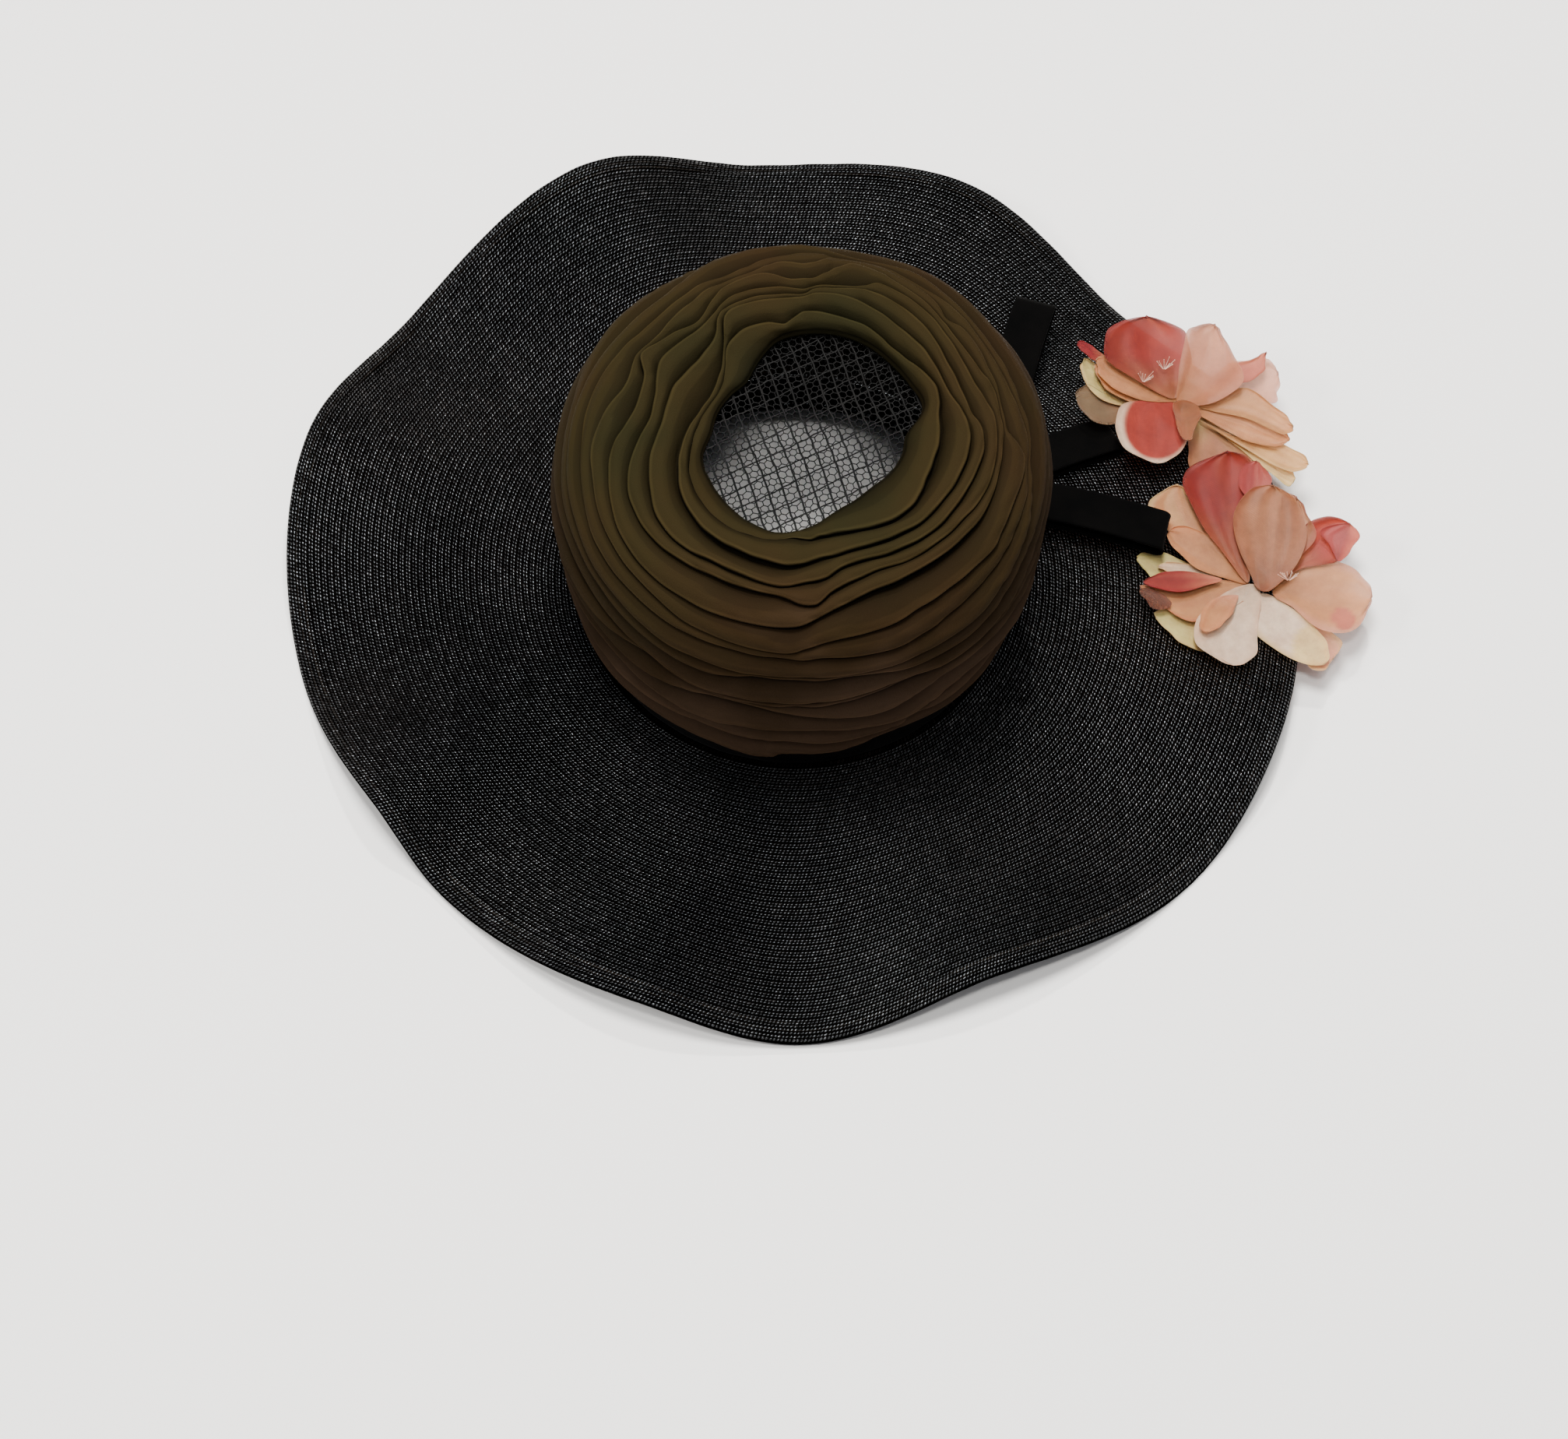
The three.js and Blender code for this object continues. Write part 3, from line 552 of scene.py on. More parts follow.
# draped crown
crownPlan = {
    "turns": 456,
    "lean": 6.0,  # of the top towards the right
    "leanFrom": 0.05,  # share of the way up where it starts
    "wobble": 0.0022,
    "leastPitch": 0.009,  # least share between two lips
    "lastLip": 0.022,  # least share between the last lip and the rim of the opening
    "lastPitch": 0.011,  # and between the lips before it
    "sideRun": 160.0,  # millimetres along the side for a share of one
    "rimRadius": 49.0,  # of the opening where the share is one
    "lipRound": 0.95,  # radius of a rolled lip
    "lipTurn": (-90, -55, -20, 15, 50, 80),  # degrees round a lip
    "climb": (0.08, 0.2, 0.36, 0.54, 0.72, 0.86, 0.95),  # steps from a lip to the next groove
    "fullPitch": 0.032,  # share between lips that gives a fold its full height
    "fullBelow": 0.02,  # and the same towards the lip below
    "vary": 0.2,  # of a fold's height along it
    "deep": 2.0,  # of a groove under the profile
    "swell": 1.5,  # of a wide fold between its lip and the next groove
    "tuck": 0.007,  # share that a fold runs on under the next lip
    "topFolds": (255, 140),  # angles between which the two top folds run
    "fadeOver": 22,
    # unevenness of the cloth: seed, height, number of waves, and how many run round the hat and up it
    "unevenness": [
        (3, 0.12, 9, (2, 11), (90, 260)), (4, 0.35, 7, (3, 9), (8, 30)), (6, 0.16, 8, (14, 40), (120, 300)),
    ],
    "sideShade": 0.28,  # painted shade on the folds of the crown's side
    "sideTop": 0.58,  # share of the way up where the side ends
    "bandClear": 95.6,
    "netClear": 0.7,
    "rimFoot": 122.8,
    "insideSteps": (0.95, 0.79, 0.7, 0.605, 0.42, 0.2, 0.14),
    # share of the way up, outside of the drape and of the net as radius and height
    "profile": [
        (0.0, 97.0, 12.0, 92.7, 12.0), (0.164, 100.0, 38.0, 95.4, 38.0),
        (0.341, 103.5, 66.0, 98.9, 66.0), (0.491, 104.5, 90.0, 99.8, 88.0),
        (0.605, 102.0, 108.0, 96.6, 105.0), (0.697, 95.0, 121.0, 90.3, 115.5),
        (0.79, 82.0, 128.0, 79.0, 121.0), (0.903, 64.0, 129.0, 64.0, 122.0),
        (1.0, 49.0, 125.6, 52.0, 122.0), (1.1, 33.0, 125.0, 36.0, 122.0),
    ],
    # radius of the opening in the top, every 15 degrees from the right side
    "opening": [
        40.4, 49.8, 49.4, 49.7, 51.0, 51.5, 50.7, 49.2, 42.9, 38.2, 40.0, 41.6,
        42.7, 47.6, 48.4, 49.4, 50.8, 51.0, 45.8, 39.3, 36.7, 35.9, 38.0, 39.5,
    ],
}
# Lower lip of each fold, from the foot up: how far it stands proud in millimetres, then its share
# of the way up the crown at angles counted from the right side.
foldTable = [
    ("hem", 2.6, [
        (0, .05), (60, .055), (120, .045), (180, .05), (215, .05), (228, .055), (250, .04), (262, .035),
        (268, .075), (275, .06), (282, .052), (287, .065), (291, .08), (297, .09), (303, .088), (311, .07),
        (320, .055), (335, .045),
    ]),
    ("foot", 3.0, [
        (0, .15), (45, .14), (90, .15), (135, .145), (180, .15), (215, .155), (235, .163), (249, .16),
        (257, .144), (267, .162), (281, .127), (294, .124), (299, .164), (312, .16), (340, .145),
    ]),
    ("low", 3.4, [
        (0, .255), (45, .27), (90, .255), (135, .265), (180, .27), (205, .28), (216, .283), (231, .228),
        (240, .23), (255, .26), (270, .245), (285, .21), (295, .18), (305, .2), (325, .235),
    ]),
    ("sash", 3.0, [
        (0, .345), (50, .36), (100, .345), (150, .35), (190, .345), (215, .335), (228, .33), (238, .352),
        (248, .368), (258, .37), (268, .352), (280, .322), (292, .3), (300, .335), (306, .37), (325, .36),
    ]),
    ("waist", 3.6, [
        (0, .44), (50, .43), (100, .44), (150, .43), (195, .425), (215, .425), (230, .428), (238, .408),
        (246, .394), (256, .392), (268, .394), (278, .402), (288, .418), (295, .432), (301, .425),
        (312, .41), (328, .415), (345, .43),
    ]),
    ("ridge", 2.6, [
        (0, .54), (30, .56), (60, .55), (90, .565), (120, .555), (150, .55), (180, .53), (200, .505),
        (215, .47), (230, .442), (245, .41), (258, .405), (270, .408), (285, .425), (300, .44),
        (315, .435), (330, .46), (345, .51),
    ]),
    ("brow", 2.6, [
        (0, .62), (30, .65), (60, .635), (90, .63), (120, .64), (150, .635), (180, .6), (200, .568),
        (215, .54), (230, .525), (245, .51), (258, .53), (270, .532), (285, .53), (300, .5),
        (315, .5), (330, .54), (345, .585),
    ]),
    ("belt", 3.2, [
        (0, .69), (8, .712), (17, .723), (25, .729), (33, .731), (40, .728), (47, .722), (55, .713),
        (62, .708), (70, .708), (78, .712), (85, .706), (92, .70), (100, .692), (107, .684), (113, .68),
        (117, .686), (120, .702), (124, .716), (130, .724), (136, .724), (143, .718), (150, .706),
        (157, .695), (165, .682), (173, .672), (180, .658), (187, .645), (195, .63), (205, .61),
        (213, .592), (222, .583), (230, .571), (236, .56), (245, .555), (255, .549), (265, .547),
        (275, .551), (285, .55), (292, .551), (300, .562), (307, .568), (315, .576), (322, .59),
        (328, .606), (335, .629), (345, .66), (352, .68),
    ]),
    ("lower", 1.9, [
        (0, .704), (8, .728), (15, .742), (30, .752), (45, .748), (60, .735), (68, .722), (75, .722),
        (82, .73), (90, .733), (97, .738), (104, .75), (111, .761), (120, .76), (135, .765), (145, .759),
        (150, .747), (155, .743), (161, .727), (167, .715), (178, .702), (186, .692), (195, .677),
        (203, .663), (210, .651), (217, .64), (225, .634), (235, .623), (245, .619), (255, .615),
        (270, .615), (275, .621), (280, .617), (285, .612), (292, .611), (300, .619), (307, .629),
        (315, .636), (325, .649), (332, .661), (337, .671), (342, .679), (350, .691), (355, .696),
    ]),
    ("middle", 2.4, [
        (0, .765), (6, .773), (14, .776), (20, .783), (27, .78), (36, .777), (40, .784), (43, .787),
        (46, .777), (50, .767), (55, .757), (60, .751), (66, .744), (73, .738), (79, .734), (82, .74),
        (85, .762), (88, .777), (91, .782), (95, .772), (98, .768), (101, .774), (104, .779),
        (110, .783), (120, .788), (126, .797), (131, .806), (137, .808), (143, .81), (147, .803),
        (150, .793), (153, .789), (157, .796), (163, .803), (167, .798), (171, .781), (176, .763),
        (181, .746), (188, .731), (195, .719), (202, .703), (210, .693), (217, .686), (225, .677),
        (230, .669), (235, .659), (240, .65), (247, .643), (255, .639), (261, .637), (265, .636),
        (268, .643), (270, .653), (273, .664), (276, .67), (280, .675), (285, .676), (290, .679),
        (295, .685), (300, .692), (307, .695), (315, .696), (325, .696), (330, .703), (335, .711),
        (341, .712), (348, .709), (352, .709), (354, .719), (356, .738), (358, .755),
    ]),
    ("upper", 2.9, [
        (0, .778), (8, .779), (13, .784), (16, .794), (19, .806), (23, .811), (28, .813), (33, .813),
        (38, .81), (43, .803), (48, .797), (53, .793), (58, .788), (63, .782), (68, .772), (73, .765),
        (76, .764), (78, .773), (81, .795), (84, .816), (87, .829), (91, .836), (95, .835), (98, .826),
        (101, .813), (104, .805), (109, .801), (114, .802), (118, .809), (121, .821), (124, .833),
        (127, .847), (131, .857), (135, .856), (141, .84), (146, .827), (149, .81), (152, .8), (154, .806),
        (157, .824), (160, .839), (165, .845), (170, .845), (175, .838), (180, .821), (185, .793),
        (190, .775), (195, .762), (200, .749), (205, .738), (210, .729), (217, .719), (225, .711),
        (232, .706), (240, .705), (250, .704), (260, .705), (266, .709), (269, .714), (272, .727),
        (275, .741), (278, .752), (281, .76), (285, .77), (290, .777), (297, .778), (305, .777),
        (312, .774), (322, .771), (332, .77), (340, .772), (347, .776),
    ]),
    ("shoulder", 2.2, [
        (0, .799), (5, .805), (10, .82), (15, .832), (20, .837), (25, .839), (30, .837), (37, .831),
        (45, .822), (52, .815), (59, .811), (65, .808), (68, .813), (71, .826), (75, .838), (80, .845),
        (85, .848), (88, .853), (91, .862), (95, .86), (100, .852), (105, .846), (110, .841), (117, .841),
        (121, .848), (125, .86), (130, .873), (135, .876), (141, .871), (147, .863), (153, .857),
        (157, .863), (160, .871), (165, .881), (170, .883), (175, .88), (180, .869), (185, .851),
        (190, .833), (195, .815), (200, .799), (205, .787), (210, .781), (217, .777), (225, .776),
        (235, .781), (245, .786), (255, .786), (261, .783), (265, .776), (268, .767), (271, .763),
        (273, .765), (275, .778), (277, .793), (280, .805), (284, .815), (288, .821), (292, .824),
        (297, .822), (302, .816), (310, .811), (317, .807), (325, .803), (330, .797), (335, .793),
        (342, .789), (348, .79), (354, .795),
    ]),
    ("high", 2.5, [
        (0, .842), (5, .862), (10, .871), (15, .876), (20, .878), (25, .879), (30, .875), (37, .865),
        (45, .856), (52, .849), (60, .844), (67, .843), (72, .844), (77, .848), (82, .851), (86, .853),
        (88, .86), (90, .871), (93, .876), (98, .873), (105, .868), (110, .865), (115, .863), (120, .864),
        (123, .869), (126, .886), (130, .914), (135, .928), (140, .933), (145, .934), (150, .93),
        (155, .925), (160, .92), (168, .917), (175, .913), (180, .907), (187, .889), (195, .867),
        (205, .843), (215, .821), (222, .813), (230, .811), (238, .817), (246, .818), (255, .811),
        (261, .808), (264, .812), (267, .82), (270, .827), (273, .831), (276, .838), (279, .85),
        (282, .86), (285, .864), (290, .863), (300, .855), (310, .844), (320, .839), (330, .84),
        (340, .834), (350, .829), (356, .833),
    ]),
    ("crest", 2.9, [
        (0, .873), (8, .892), (15, .908), (25, .912), (35, .91), (45, .907), (55, .899), (65, .889),
        (75, .88), (82, .878), (88, .881), (94, .887), (100, .885), (108, .88), (116, .876), (120, .877),
        (123, .889), (126, .912), (130, .946), (135, .975), (141, .999), (149, 1.013), (157, 1.016),
        (166, 1.006), (175, .99), (183, .972), (192, .95), (202, .926), (212, .903), (222, .888),
        (235, .878), (250, .873), (261, .87), (267, .876), (272, .888), (278, .898), (285, .904),
        (295, .9), (305, .89), (315, .881), (330, .876), (345, .87), (355, .868),
    ]),
    ("roll", 2.0, [
        (0, .954), (8, .952), (14, .942), (20, .934), (25, .938), (30, .945), (35, .953), (42, .961),
        (50, .961), (56, .953), (62, .946), (68, .941), (75, .937), (82, .933), (88, .93), (92, .932),
        (95, .943), (98, .955), (101, .963), (104, .958), (108, .949), (114, .944), (122, .944),
        (130, .96), (138, 1.0), (150, 1.03), (165, 1.02), (185, .99), (210, .945), (230, .93),
        (250, .94), (262, .968), (270, .965), (275, .971), (280, .975), (285, .974), (290, .97),
        (295, .963), (300, .956), (307, .947), (315, .941), (325, .944), (335, .953), (345, .956),
        (352, .954),
    ]),
]
# Where a fold stands off from the one below and leaves a dark gap under its lip: fold, angle, half
# width in degrees, and share of the full gap.
looseGaps = [
    ("upper", 302, 28, 1.0), ("crest", 248, 20, 0.9), ("belt", 262, 40, 0.6), ("upper", 268, 6, 0.7),
    ("shoulder", 252, 10, 0.7), ("upper", 92, 10, 0.9), ("upper", 150, 14, 0.6), ("shoulder", 75, 7, 0.8),
    ("upper", 169, 10, 1.0), ("crest", 160, 22, 0.6), ("high", 96, 8, 0.5), ("roll", 8, 14, 0.7),
    ("middle", 140, 20, 0.9), ("waist", 255, 14, 0.8), ("sash", 292, 10, 0.8), ("high", 20, 14, 0.5),
    ("belt", 318, 14, 0.6), ("roll", 330, 30, 0.5), ("low", 225, 14, 0.6), ("hem", 292, 8, 0.8),
]
profileShares = np.array([row[0] for row in crownPlan["profile"]])
profileKnots = np.concatenate([[-0.16], profileShares, [1.2]])


# One column of the profile as a smooth curve, which runs on straight past both ends.
def profileColumn(column, up):
    values = np.array([row[column] for row in crownPlan["profile"]])
    first = 2 * values[0] - values[1]
    last = 2 * values[-1] - values[-2]
    return hermite(profileKnots, np.concatenate([[first], values, [last]]), up)


# Radius and height of the crown's side: the profile curve moved outwards along its normal. The
# drape's two columns start at one, the net's at three.
def crownSection(up, proud, kind=1):
    step = 0.003
    radius = profileColumn(kind, up)
    height = profileColumn(kind + 1, up)
    run = profileColumn(kind, up + step) - profileColumn(kind, up - step)
    rise = profileColumn(kind + 1, up + step) - profileColumn(kind + 1, up - step)
    length = np.hypot(run, rise) + 1e-9
    return radius + rise / length * proud, height - run / length * proud


# How far the crown leans to the right, growing evenly from near its foot.
def leanAt(up):
    foot = crownPlan["leanFrom"]
    return crownPlan["lean"] * np.maximum(up - foot, 0) / (1 - foot)


# Lips of all the folds at each angle, each kept a little over the one below it.
def foldLips(degrees):
    lips = []
    random = np.random.default_rng(7)
    turn = np.radians(degrees)
    for _, _, pairs in foldTable:
        angles, shares = np.array(pairs).T
        lip = aroundHat(degrees, angles, shares)
        for count in (7, 13, 21, 34):
            size = crownPlan["wobble"] / count**0.5
            lip = lip + size * np.sin(count * turn + random.uniform(0, 2 * np.pi))
        if lips:
            lip = np.maximum(lip, lips[-1] + crownPlan["leastPitch"])
        lips.append(lip)
    return np.array(lips)


# Share of the full gap under a fold's lip: one in the middle of a loose place, and soon none.
def looseAt(degrees, fold):
    loose = np.zeros_like(degrees)
    for name, angle, half, share in looseGaps:
        if name == fold:
            off = np.mod(degrees - angle + 180, 360) - 180
            loose = np.maximum(loose, share * np.exp(-((off / half) ** 4)))
    return loose


# The drape's section is a closed loop. Each fold leaves the groove behind its own lip, runs out
# under the lip, rolls round it on almost half a circle, and climbs to the groove under the next lip
# while it sinks from proud to deep. Where a fold is loose it sinks sooner, which opens a gap. The
# last one rolls over into the opening, and the loop returns down the inside over the net.
def drapedCrown(plan):
    degrees = np.arange(plan["turns"])[:, None] * 360 / plan["turns"]
    turn = np.radians(degrees)
    sideRun = plan["sideRun"]
    opening = aroundHat(degrees, np.arange(24) * 15.0, plan["opening"])
    rim = 1 + (plan["rimRadius"] - opening) / sideRun
    lips = foldLips(degrees)
    final = len(foldTable) - 1
    for index in range(len(foldTable)):
        lips[index] = np.minimum(lips[index], rim - plan["lastLip"] - plan["lastPitch"] * (final - index))
    first, end = plan["topFolds"]
    past = np.mod(degrees - first, 360)
    fade = np.clip(np.minimum(past, np.mod(end - degrees, 360)) / plan["fadeOver"], 0, 1)
    fade = np.where(past > (end - first) % 360, 0, fade)
    roll = np.radians(np.array(plan["lipTurn"]))
    climb = np.array(plan["climb"])
    ups, prouds, shades = [], [], []
    for index, (_, proud, _) in enumerate(foldTable):
        last = index == final
        low = lips[index]
        high = rim if last else lips[index + 1]
        room = np.clip((high - low) / plan["fullPitch"], 0.2, 1.0)
        below = np.clip((low - lips[index - 1]) / plan["fullBelow"], 0.3, 1.0) if index else 1.0
        loose = 0 * high
        grow = 1.0
        if last:
            room = np.maximum(room, 0.6) * (0.04 + 0.96 * fade)
            grow = 0.02 + 0.98 * fade
        else:
            loose = looseAt(degrees, foldTable[index + 1][0])
        vary = 1 + plan["vary"] * ripple(31 + index, turn, 0, 4, (2, 9), (0, 0))
        size = proud * room * below * vary
        lipRound = grow * np.minimum(plan["lipRound"] * (0.5 + 0.5 * room), 0.5 * (high - low) * sideRun)
        lipUp = low + lipRound / sideRun * (1 - np.cos(roll))
        ups.append(lipUp)
        prouds.append(size - lipRound + lipRound * np.sin(roll))
        # painted highlight on the outside of a rolled lip, painted shade under it
        shades.append(np.clip(0.5 + 0.6 * np.sin(roll), 0, 1) + 0 * size)
        start = lipUp[:, -1:]
        stop = high + (-0.004 if last else plan["tuck"]) * np.minimum(room, 1)
        ups.append(start + (stop - start) * climb)
        fall = climb ** (2.3 - 1.4 * loose)
        if last:
            body = size * (1 - fall) + 0.8 * np.sin(np.pi * climb**0.8) - 0.6 * fall
        else:
            deep = -plan["deep"] * room * (1 + 0.5 * loose) * (fade if index == final - 1 else 1)
            swell = np.clip((high - low) / 0.1, 0, 1) * plan["swell"] * np.sin(np.pi * climb)
            body = size * (1 - fall) + deep * fall + swell
        prouds.append(body)
        # painted shade: light next to the lip, dark towards the groove under the next lip, darker still on
        # the crown's side
        side = np.clip((plan["sideTop"] - low) / 0.1, 0, 1)
        shades.append(np.clip(1 - fall**1.5 - side * plan["sideShade"] * climb**0.9, 0, 0.9) + 0 * size)
    up, proud, shade = (np.concatenate(parts, axis=1) for parts in (ups, prouds, shades))
    for seed, size, waves, rangeTurn, rangeUp in plan["unevenness"]:
        proud = proud + size * ripple(seed, turn, up, waves, rangeTurn, rangeUp)
    radius, height = crownSection(up, proud)
    inner = np.array([0, 0.35, 0.7, 1.0])
    rimRadius = radius[:, -1:] - np.sin(np.pi * inner * 0.8)
    rimHeight = height[:, -1:] + (plan["rimFoot"] - height[:, -1:]) * (0.15 + 0.85 * inner)
    insideUp = np.array(plan["insideSteps"]) + 0 * rim
    insideRadius, insideHeight = crownSection(insideUp, plan["netClear"], 3)
    footUp = np.array([0.07, 0.05]) + 0 * rim
    footRadius = np.full_like(footUp, plan["bandClear"])
    footHeight = height[:, :1] + np.array([4.5, 0.6])
    up = np.concatenate([up, rim - 0.003 + 0 * inner, insideUp, footUp], axis=1)
    radius = np.concatenate([radius, rimRadius, insideRadius, footRadius], axis=1)
    height = np.concatenate([height, rimHeight, insideHeight, footHeight], axis=1)
    # an even painted shade for the rim, the inside and the foot
    evenPaintedShade = np.full((plan["turns"], up.shape[1] - shade.shape[1]), 0.3)
    points = polar(degrees, radius, height)
    points[..., 0] += leanAt(up)
    # The "lip" attribute carries this painted shade and highlight into the chiffon's colour.
    values = {"lip": np.concatenate([shade, evenPaintedShade], axis=1), "up": up}
    return points.reshape(-1, 3), ringFaces(plan["turns"], up.shape[1]), values


chiffonLook = {
    "browner": (-1.0, 1.25, 1.3),  # for the share of the way up, a metre to the right, and patches
    "brownFirst": 0.54,
    "patchScale": 13,
    "colours": [
        (0.0, (0.0082, 0.0078, 0.003)), (0.35, (0.0122, 0.0088, 0.0033)),
        (0.65, (0.0137, 0.008, 0.0034)), (1.0, (0.0275, 0.0165, 0.01)),
    ],
    # painted shade in the grooves up to a painted highlight on the lips, read from the "lip" attribute
    "paintedGrooveShadeToLipHighlight": [
        (0.0, (0.1, 0.095, 0.09)), (0.4, (0.66, 0.64, 0.62)),
        (0.85, (1.05, 1.03, 1.0)), (1.0, (2.1, 2.05, 1.9)),
    ],
    "weaveScale": 900,
    "slubs": (40, 40, 420),
}


# Olive chiffon, browner low down and towards the right, with painted shade in the grooves and on the
# crown's side, a painted highlight on the lips of the folds, and a fine slubbed weave.
def chiffonMaterial(look):
    material, tree, shader = newMaterial("oliveChiffon")
    place = objectPlace(tree)
    split = put(tree, "ShaderNodeSeparateXYZ")
    tree.links.new(place, split.inputs[0])
    height = put(tree, "ShaderNodeAttribute", attribute_name="up").outputs["Fac"]
    # the "lip" attribute holds painted shade, dark in the grooves and light on the lips
    lip = put(tree, "ShaderNodeAttribute", attribute_name="lip").outputs["Fac"]
    brown = look["brownFirst"]
    patches = noise(tree, place, look["patchScale"], 3)
    for value, size in zip((height, split.outputs["X"], patches), look["browner"]):
        brown = maths(tree, "MULTIPLY_ADD", value, size, brown)
    paintedFoldShade = ramp(tree, lip, look["paintedGrooveShadeToLipHighlight"])
    colour = mixColour(tree, 1.0, ramp(tree, brown, look["colours"]), paintedFoldShade, "MULTIPLY")
    tree.links.new(colour, shader.inputs["Base Color"])
    shader.inputs["Roughness"].default_value = 0.85
    shader.inputs["Specular IOR Level"].default_value = 0.03
    slub = noise(tree, putScaled(tree, place, look["slubs"]), 1.0, 3)
    soft = bump(tree, None, slub, 0.35, 0.0007)
    bump(tree, shader, noise(tree, place, look["weaveScale"], 3, 0.7), 0.55, 0.0003, soft)
    return material


points, faces, values = drapedCrown(crownPlan)
drape = makePiece("drapedChiffon", points, faces, values=values)
finish(drape, "chiffon", chiffonMaterial(chiffonLook), "crown_drape")
print("drape made")


# net cap
netPlan = {
    "cell": 3.4,  # across the flats of a cell
    "thread": 0.25,  # radius of the fine thread
    "steps": 90,  # points in a bold thread
    "topReach": 112.0,  # from the middle to the join of top and side, along the net
    "limit": 196,  # the flat net reaches at least as far from its middle
    "turn": 18,  # of the cells, in degrees
    "boldShare": 0.96,  # of the whole run to the foot that the bold threads take
    "inset": 0.4,  # of the middle of the threads under the solid's outside
    "topHeight": 121.6,
    "footRadius": 92.2,
    # bold crossing threads: angle from the right side, pitch and radius
    "bold": [(-72.0, 6.3, 0.5), (29.0, 8.2, 0.36)],
}


# Lays a flat pattern over the cap: inside the top disc it stays flat, and beyond it the distance
# from the middle runs down the cap's side. The run from the middle to the foot comes with it.
def capPoint(x, y, plan=netPlan):
    far = np.hypot(x, y)
    shares = np.linspace(0.05, 0.95, 160)
    radius, height = crownSection(shares, -plan["inset"], 3)
    foot = plan["footRadius"]
    narrow = shares < 0.1
    radius[narrow] = foot + (radius[~narrow][0] - foot) * (shares[narrow] - 0.05) / 0.05
    radius = np.append(radius, 0.0)[::-1]
    height = np.append(height, plan["topHeight"])[::-1]
    shares = np.append(shares, 1.0)[::-1]
    run = np.concatenate([[0], np.cumsum(np.hypot(np.diff(radius), np.diff(height)))])
    place = np.clip(far, 0, run[-1])
    scale = np.interp(place, run, radius) / np.maximum(far, 1e-6)
    lean = leanAt(np.interp(place, run, shares))
    return np.stack([x * scale + lean, y * scale, np.interp(place, run, height)], axis=-1), run[-1]


# Joins pairs of points by three-sided threads of one radius.
def threads(starts, ends, radius):
    along = unit(ends - starts)
    side = unit(np.cross(along, np.array([0.31, 0.17, 0.93])))
    other = np.cross(along, side)
    corners = []
    for angle in (0, 2 * np.pi / 3, 4 * np.pi / 3):
        offset = (side * math.cos(angle) + other * math.sin(angle)) * radius
        corners.append((starts - along * radius * 0.5) + offset)
        corners.append((ends + along * radius * 0.5) + offset)
    points = np.stack(corners, axis=1).reshape(-1, 3)
    quads = np.array([[0, 1, 3, 2], [2, 3, 5, 4], [4, 5, 1, 0]])
    return points, (np.arange(len(starts))[:, None, None] * 6 + quads).reshape(-1, 4)


# A soft sideways sway of points of the flat net, in millimetres.
def sway(flat):
    other = flat[:, ::-1]
    return flat + 0.5 * np.sin(other * 0.21) + 0.3 * np.sin(flat * 0.37 + other * 0.11)


# Hexagonal net: each node of a brick lattice joins its three neighbours. Bold threads cross it.
def netCap(plan):
    cell = plan["cell"]
    side = cell / math.sqrt(3)
    span = int(plan["limit"] / cell) + 2
    i, j = np.meshgrid(np.arange(-span, span), np.arange(-span, span), indexing="ij")
    x = (i + 0.5 * (j % 2)) * cell
    y = j * side * 1.5
    lower, upper, left, right = (
        np.stack([x + across * cell, y + up * side], axis=-1).reshape(-1, 2)
        for across, up in ((0, 0), (0, 1), (-0.5, 1.5), (0.5, 1.5))
    )
    turn = math.radians(plan["turn"])
    spin = np.array([[math.cos(turn), -math.sin(turn)], [math.sin(turn), math.cos(turn)]])
    starts = sway(np.concatenate([lower, upper, upper]) @ spin.T)
    ends = sway(np.concatenate([upper, left, right]) @ spin.T)
    first, reach = capPoint(*starts.T)
    second, _ = capPoint(*ends.T)
    inside = (np.hypot(*starts.T) < reach) & (np.hypot(*ends.T) < reach)
    parts = [threads(first[inside], second[inside], plan["thread"])]
    boldReach = reach * plan["boldShare"]
    for angle, pitch, radius in plan["bold"]:
        direction = np.array([math.cos(math.radians(angle)), math.sin(math.radians(angle))])
        normal = np.array([-direction[1], direction[0]])
        half = int(boldReach / pitch)
        for line in np.arange(-half, half + 1) * pitch:
            length = math.sqrt(max(boldReach**2 - line**2, 0))
            steps = np.linspace(-length, length, plan["steps"])
            shake = 0.4 * np.sin(steps * 0.13 + line) + 0.25 * np.sin(steps * 0.71 + 2 * line)
            flat = steps[:, None] * direction + (line + shake)[:, None] * normal
            path, _ = capPoint(*flat.T)
            parts.append(threads(path[:-1], path[1:], radius))
    return capParts(parts, capPoint(np.array([plan["topReach"]]), np.zeros(1))[0][0, 2])


# The threads whose first point lies over the given level, and the others.
def capParts(parts, level):
    for above in (True, False):
        allPoints, allFaces, start = [], [], 0
        for points, faces in parts:
            kept = (points.reshape(-1, 6, 3)[:, 0, 2] >= level) == above
            shift = (np.cumsum(kept)[kept] - 1 - np.flatnonzero(kept)) * 6
            allPoints.append(points.reshape(-1, 6, 3)[kept].reshape(-1, 3))
            allFaces.append((faces.reshape(-1, 3, 4)[kept] + shift[:, None, None] + start).reshape(-1, 4))
            start += len(allPoints[-1])
        yield np.concatenate(allPoints), np.concatenate(allFaces)


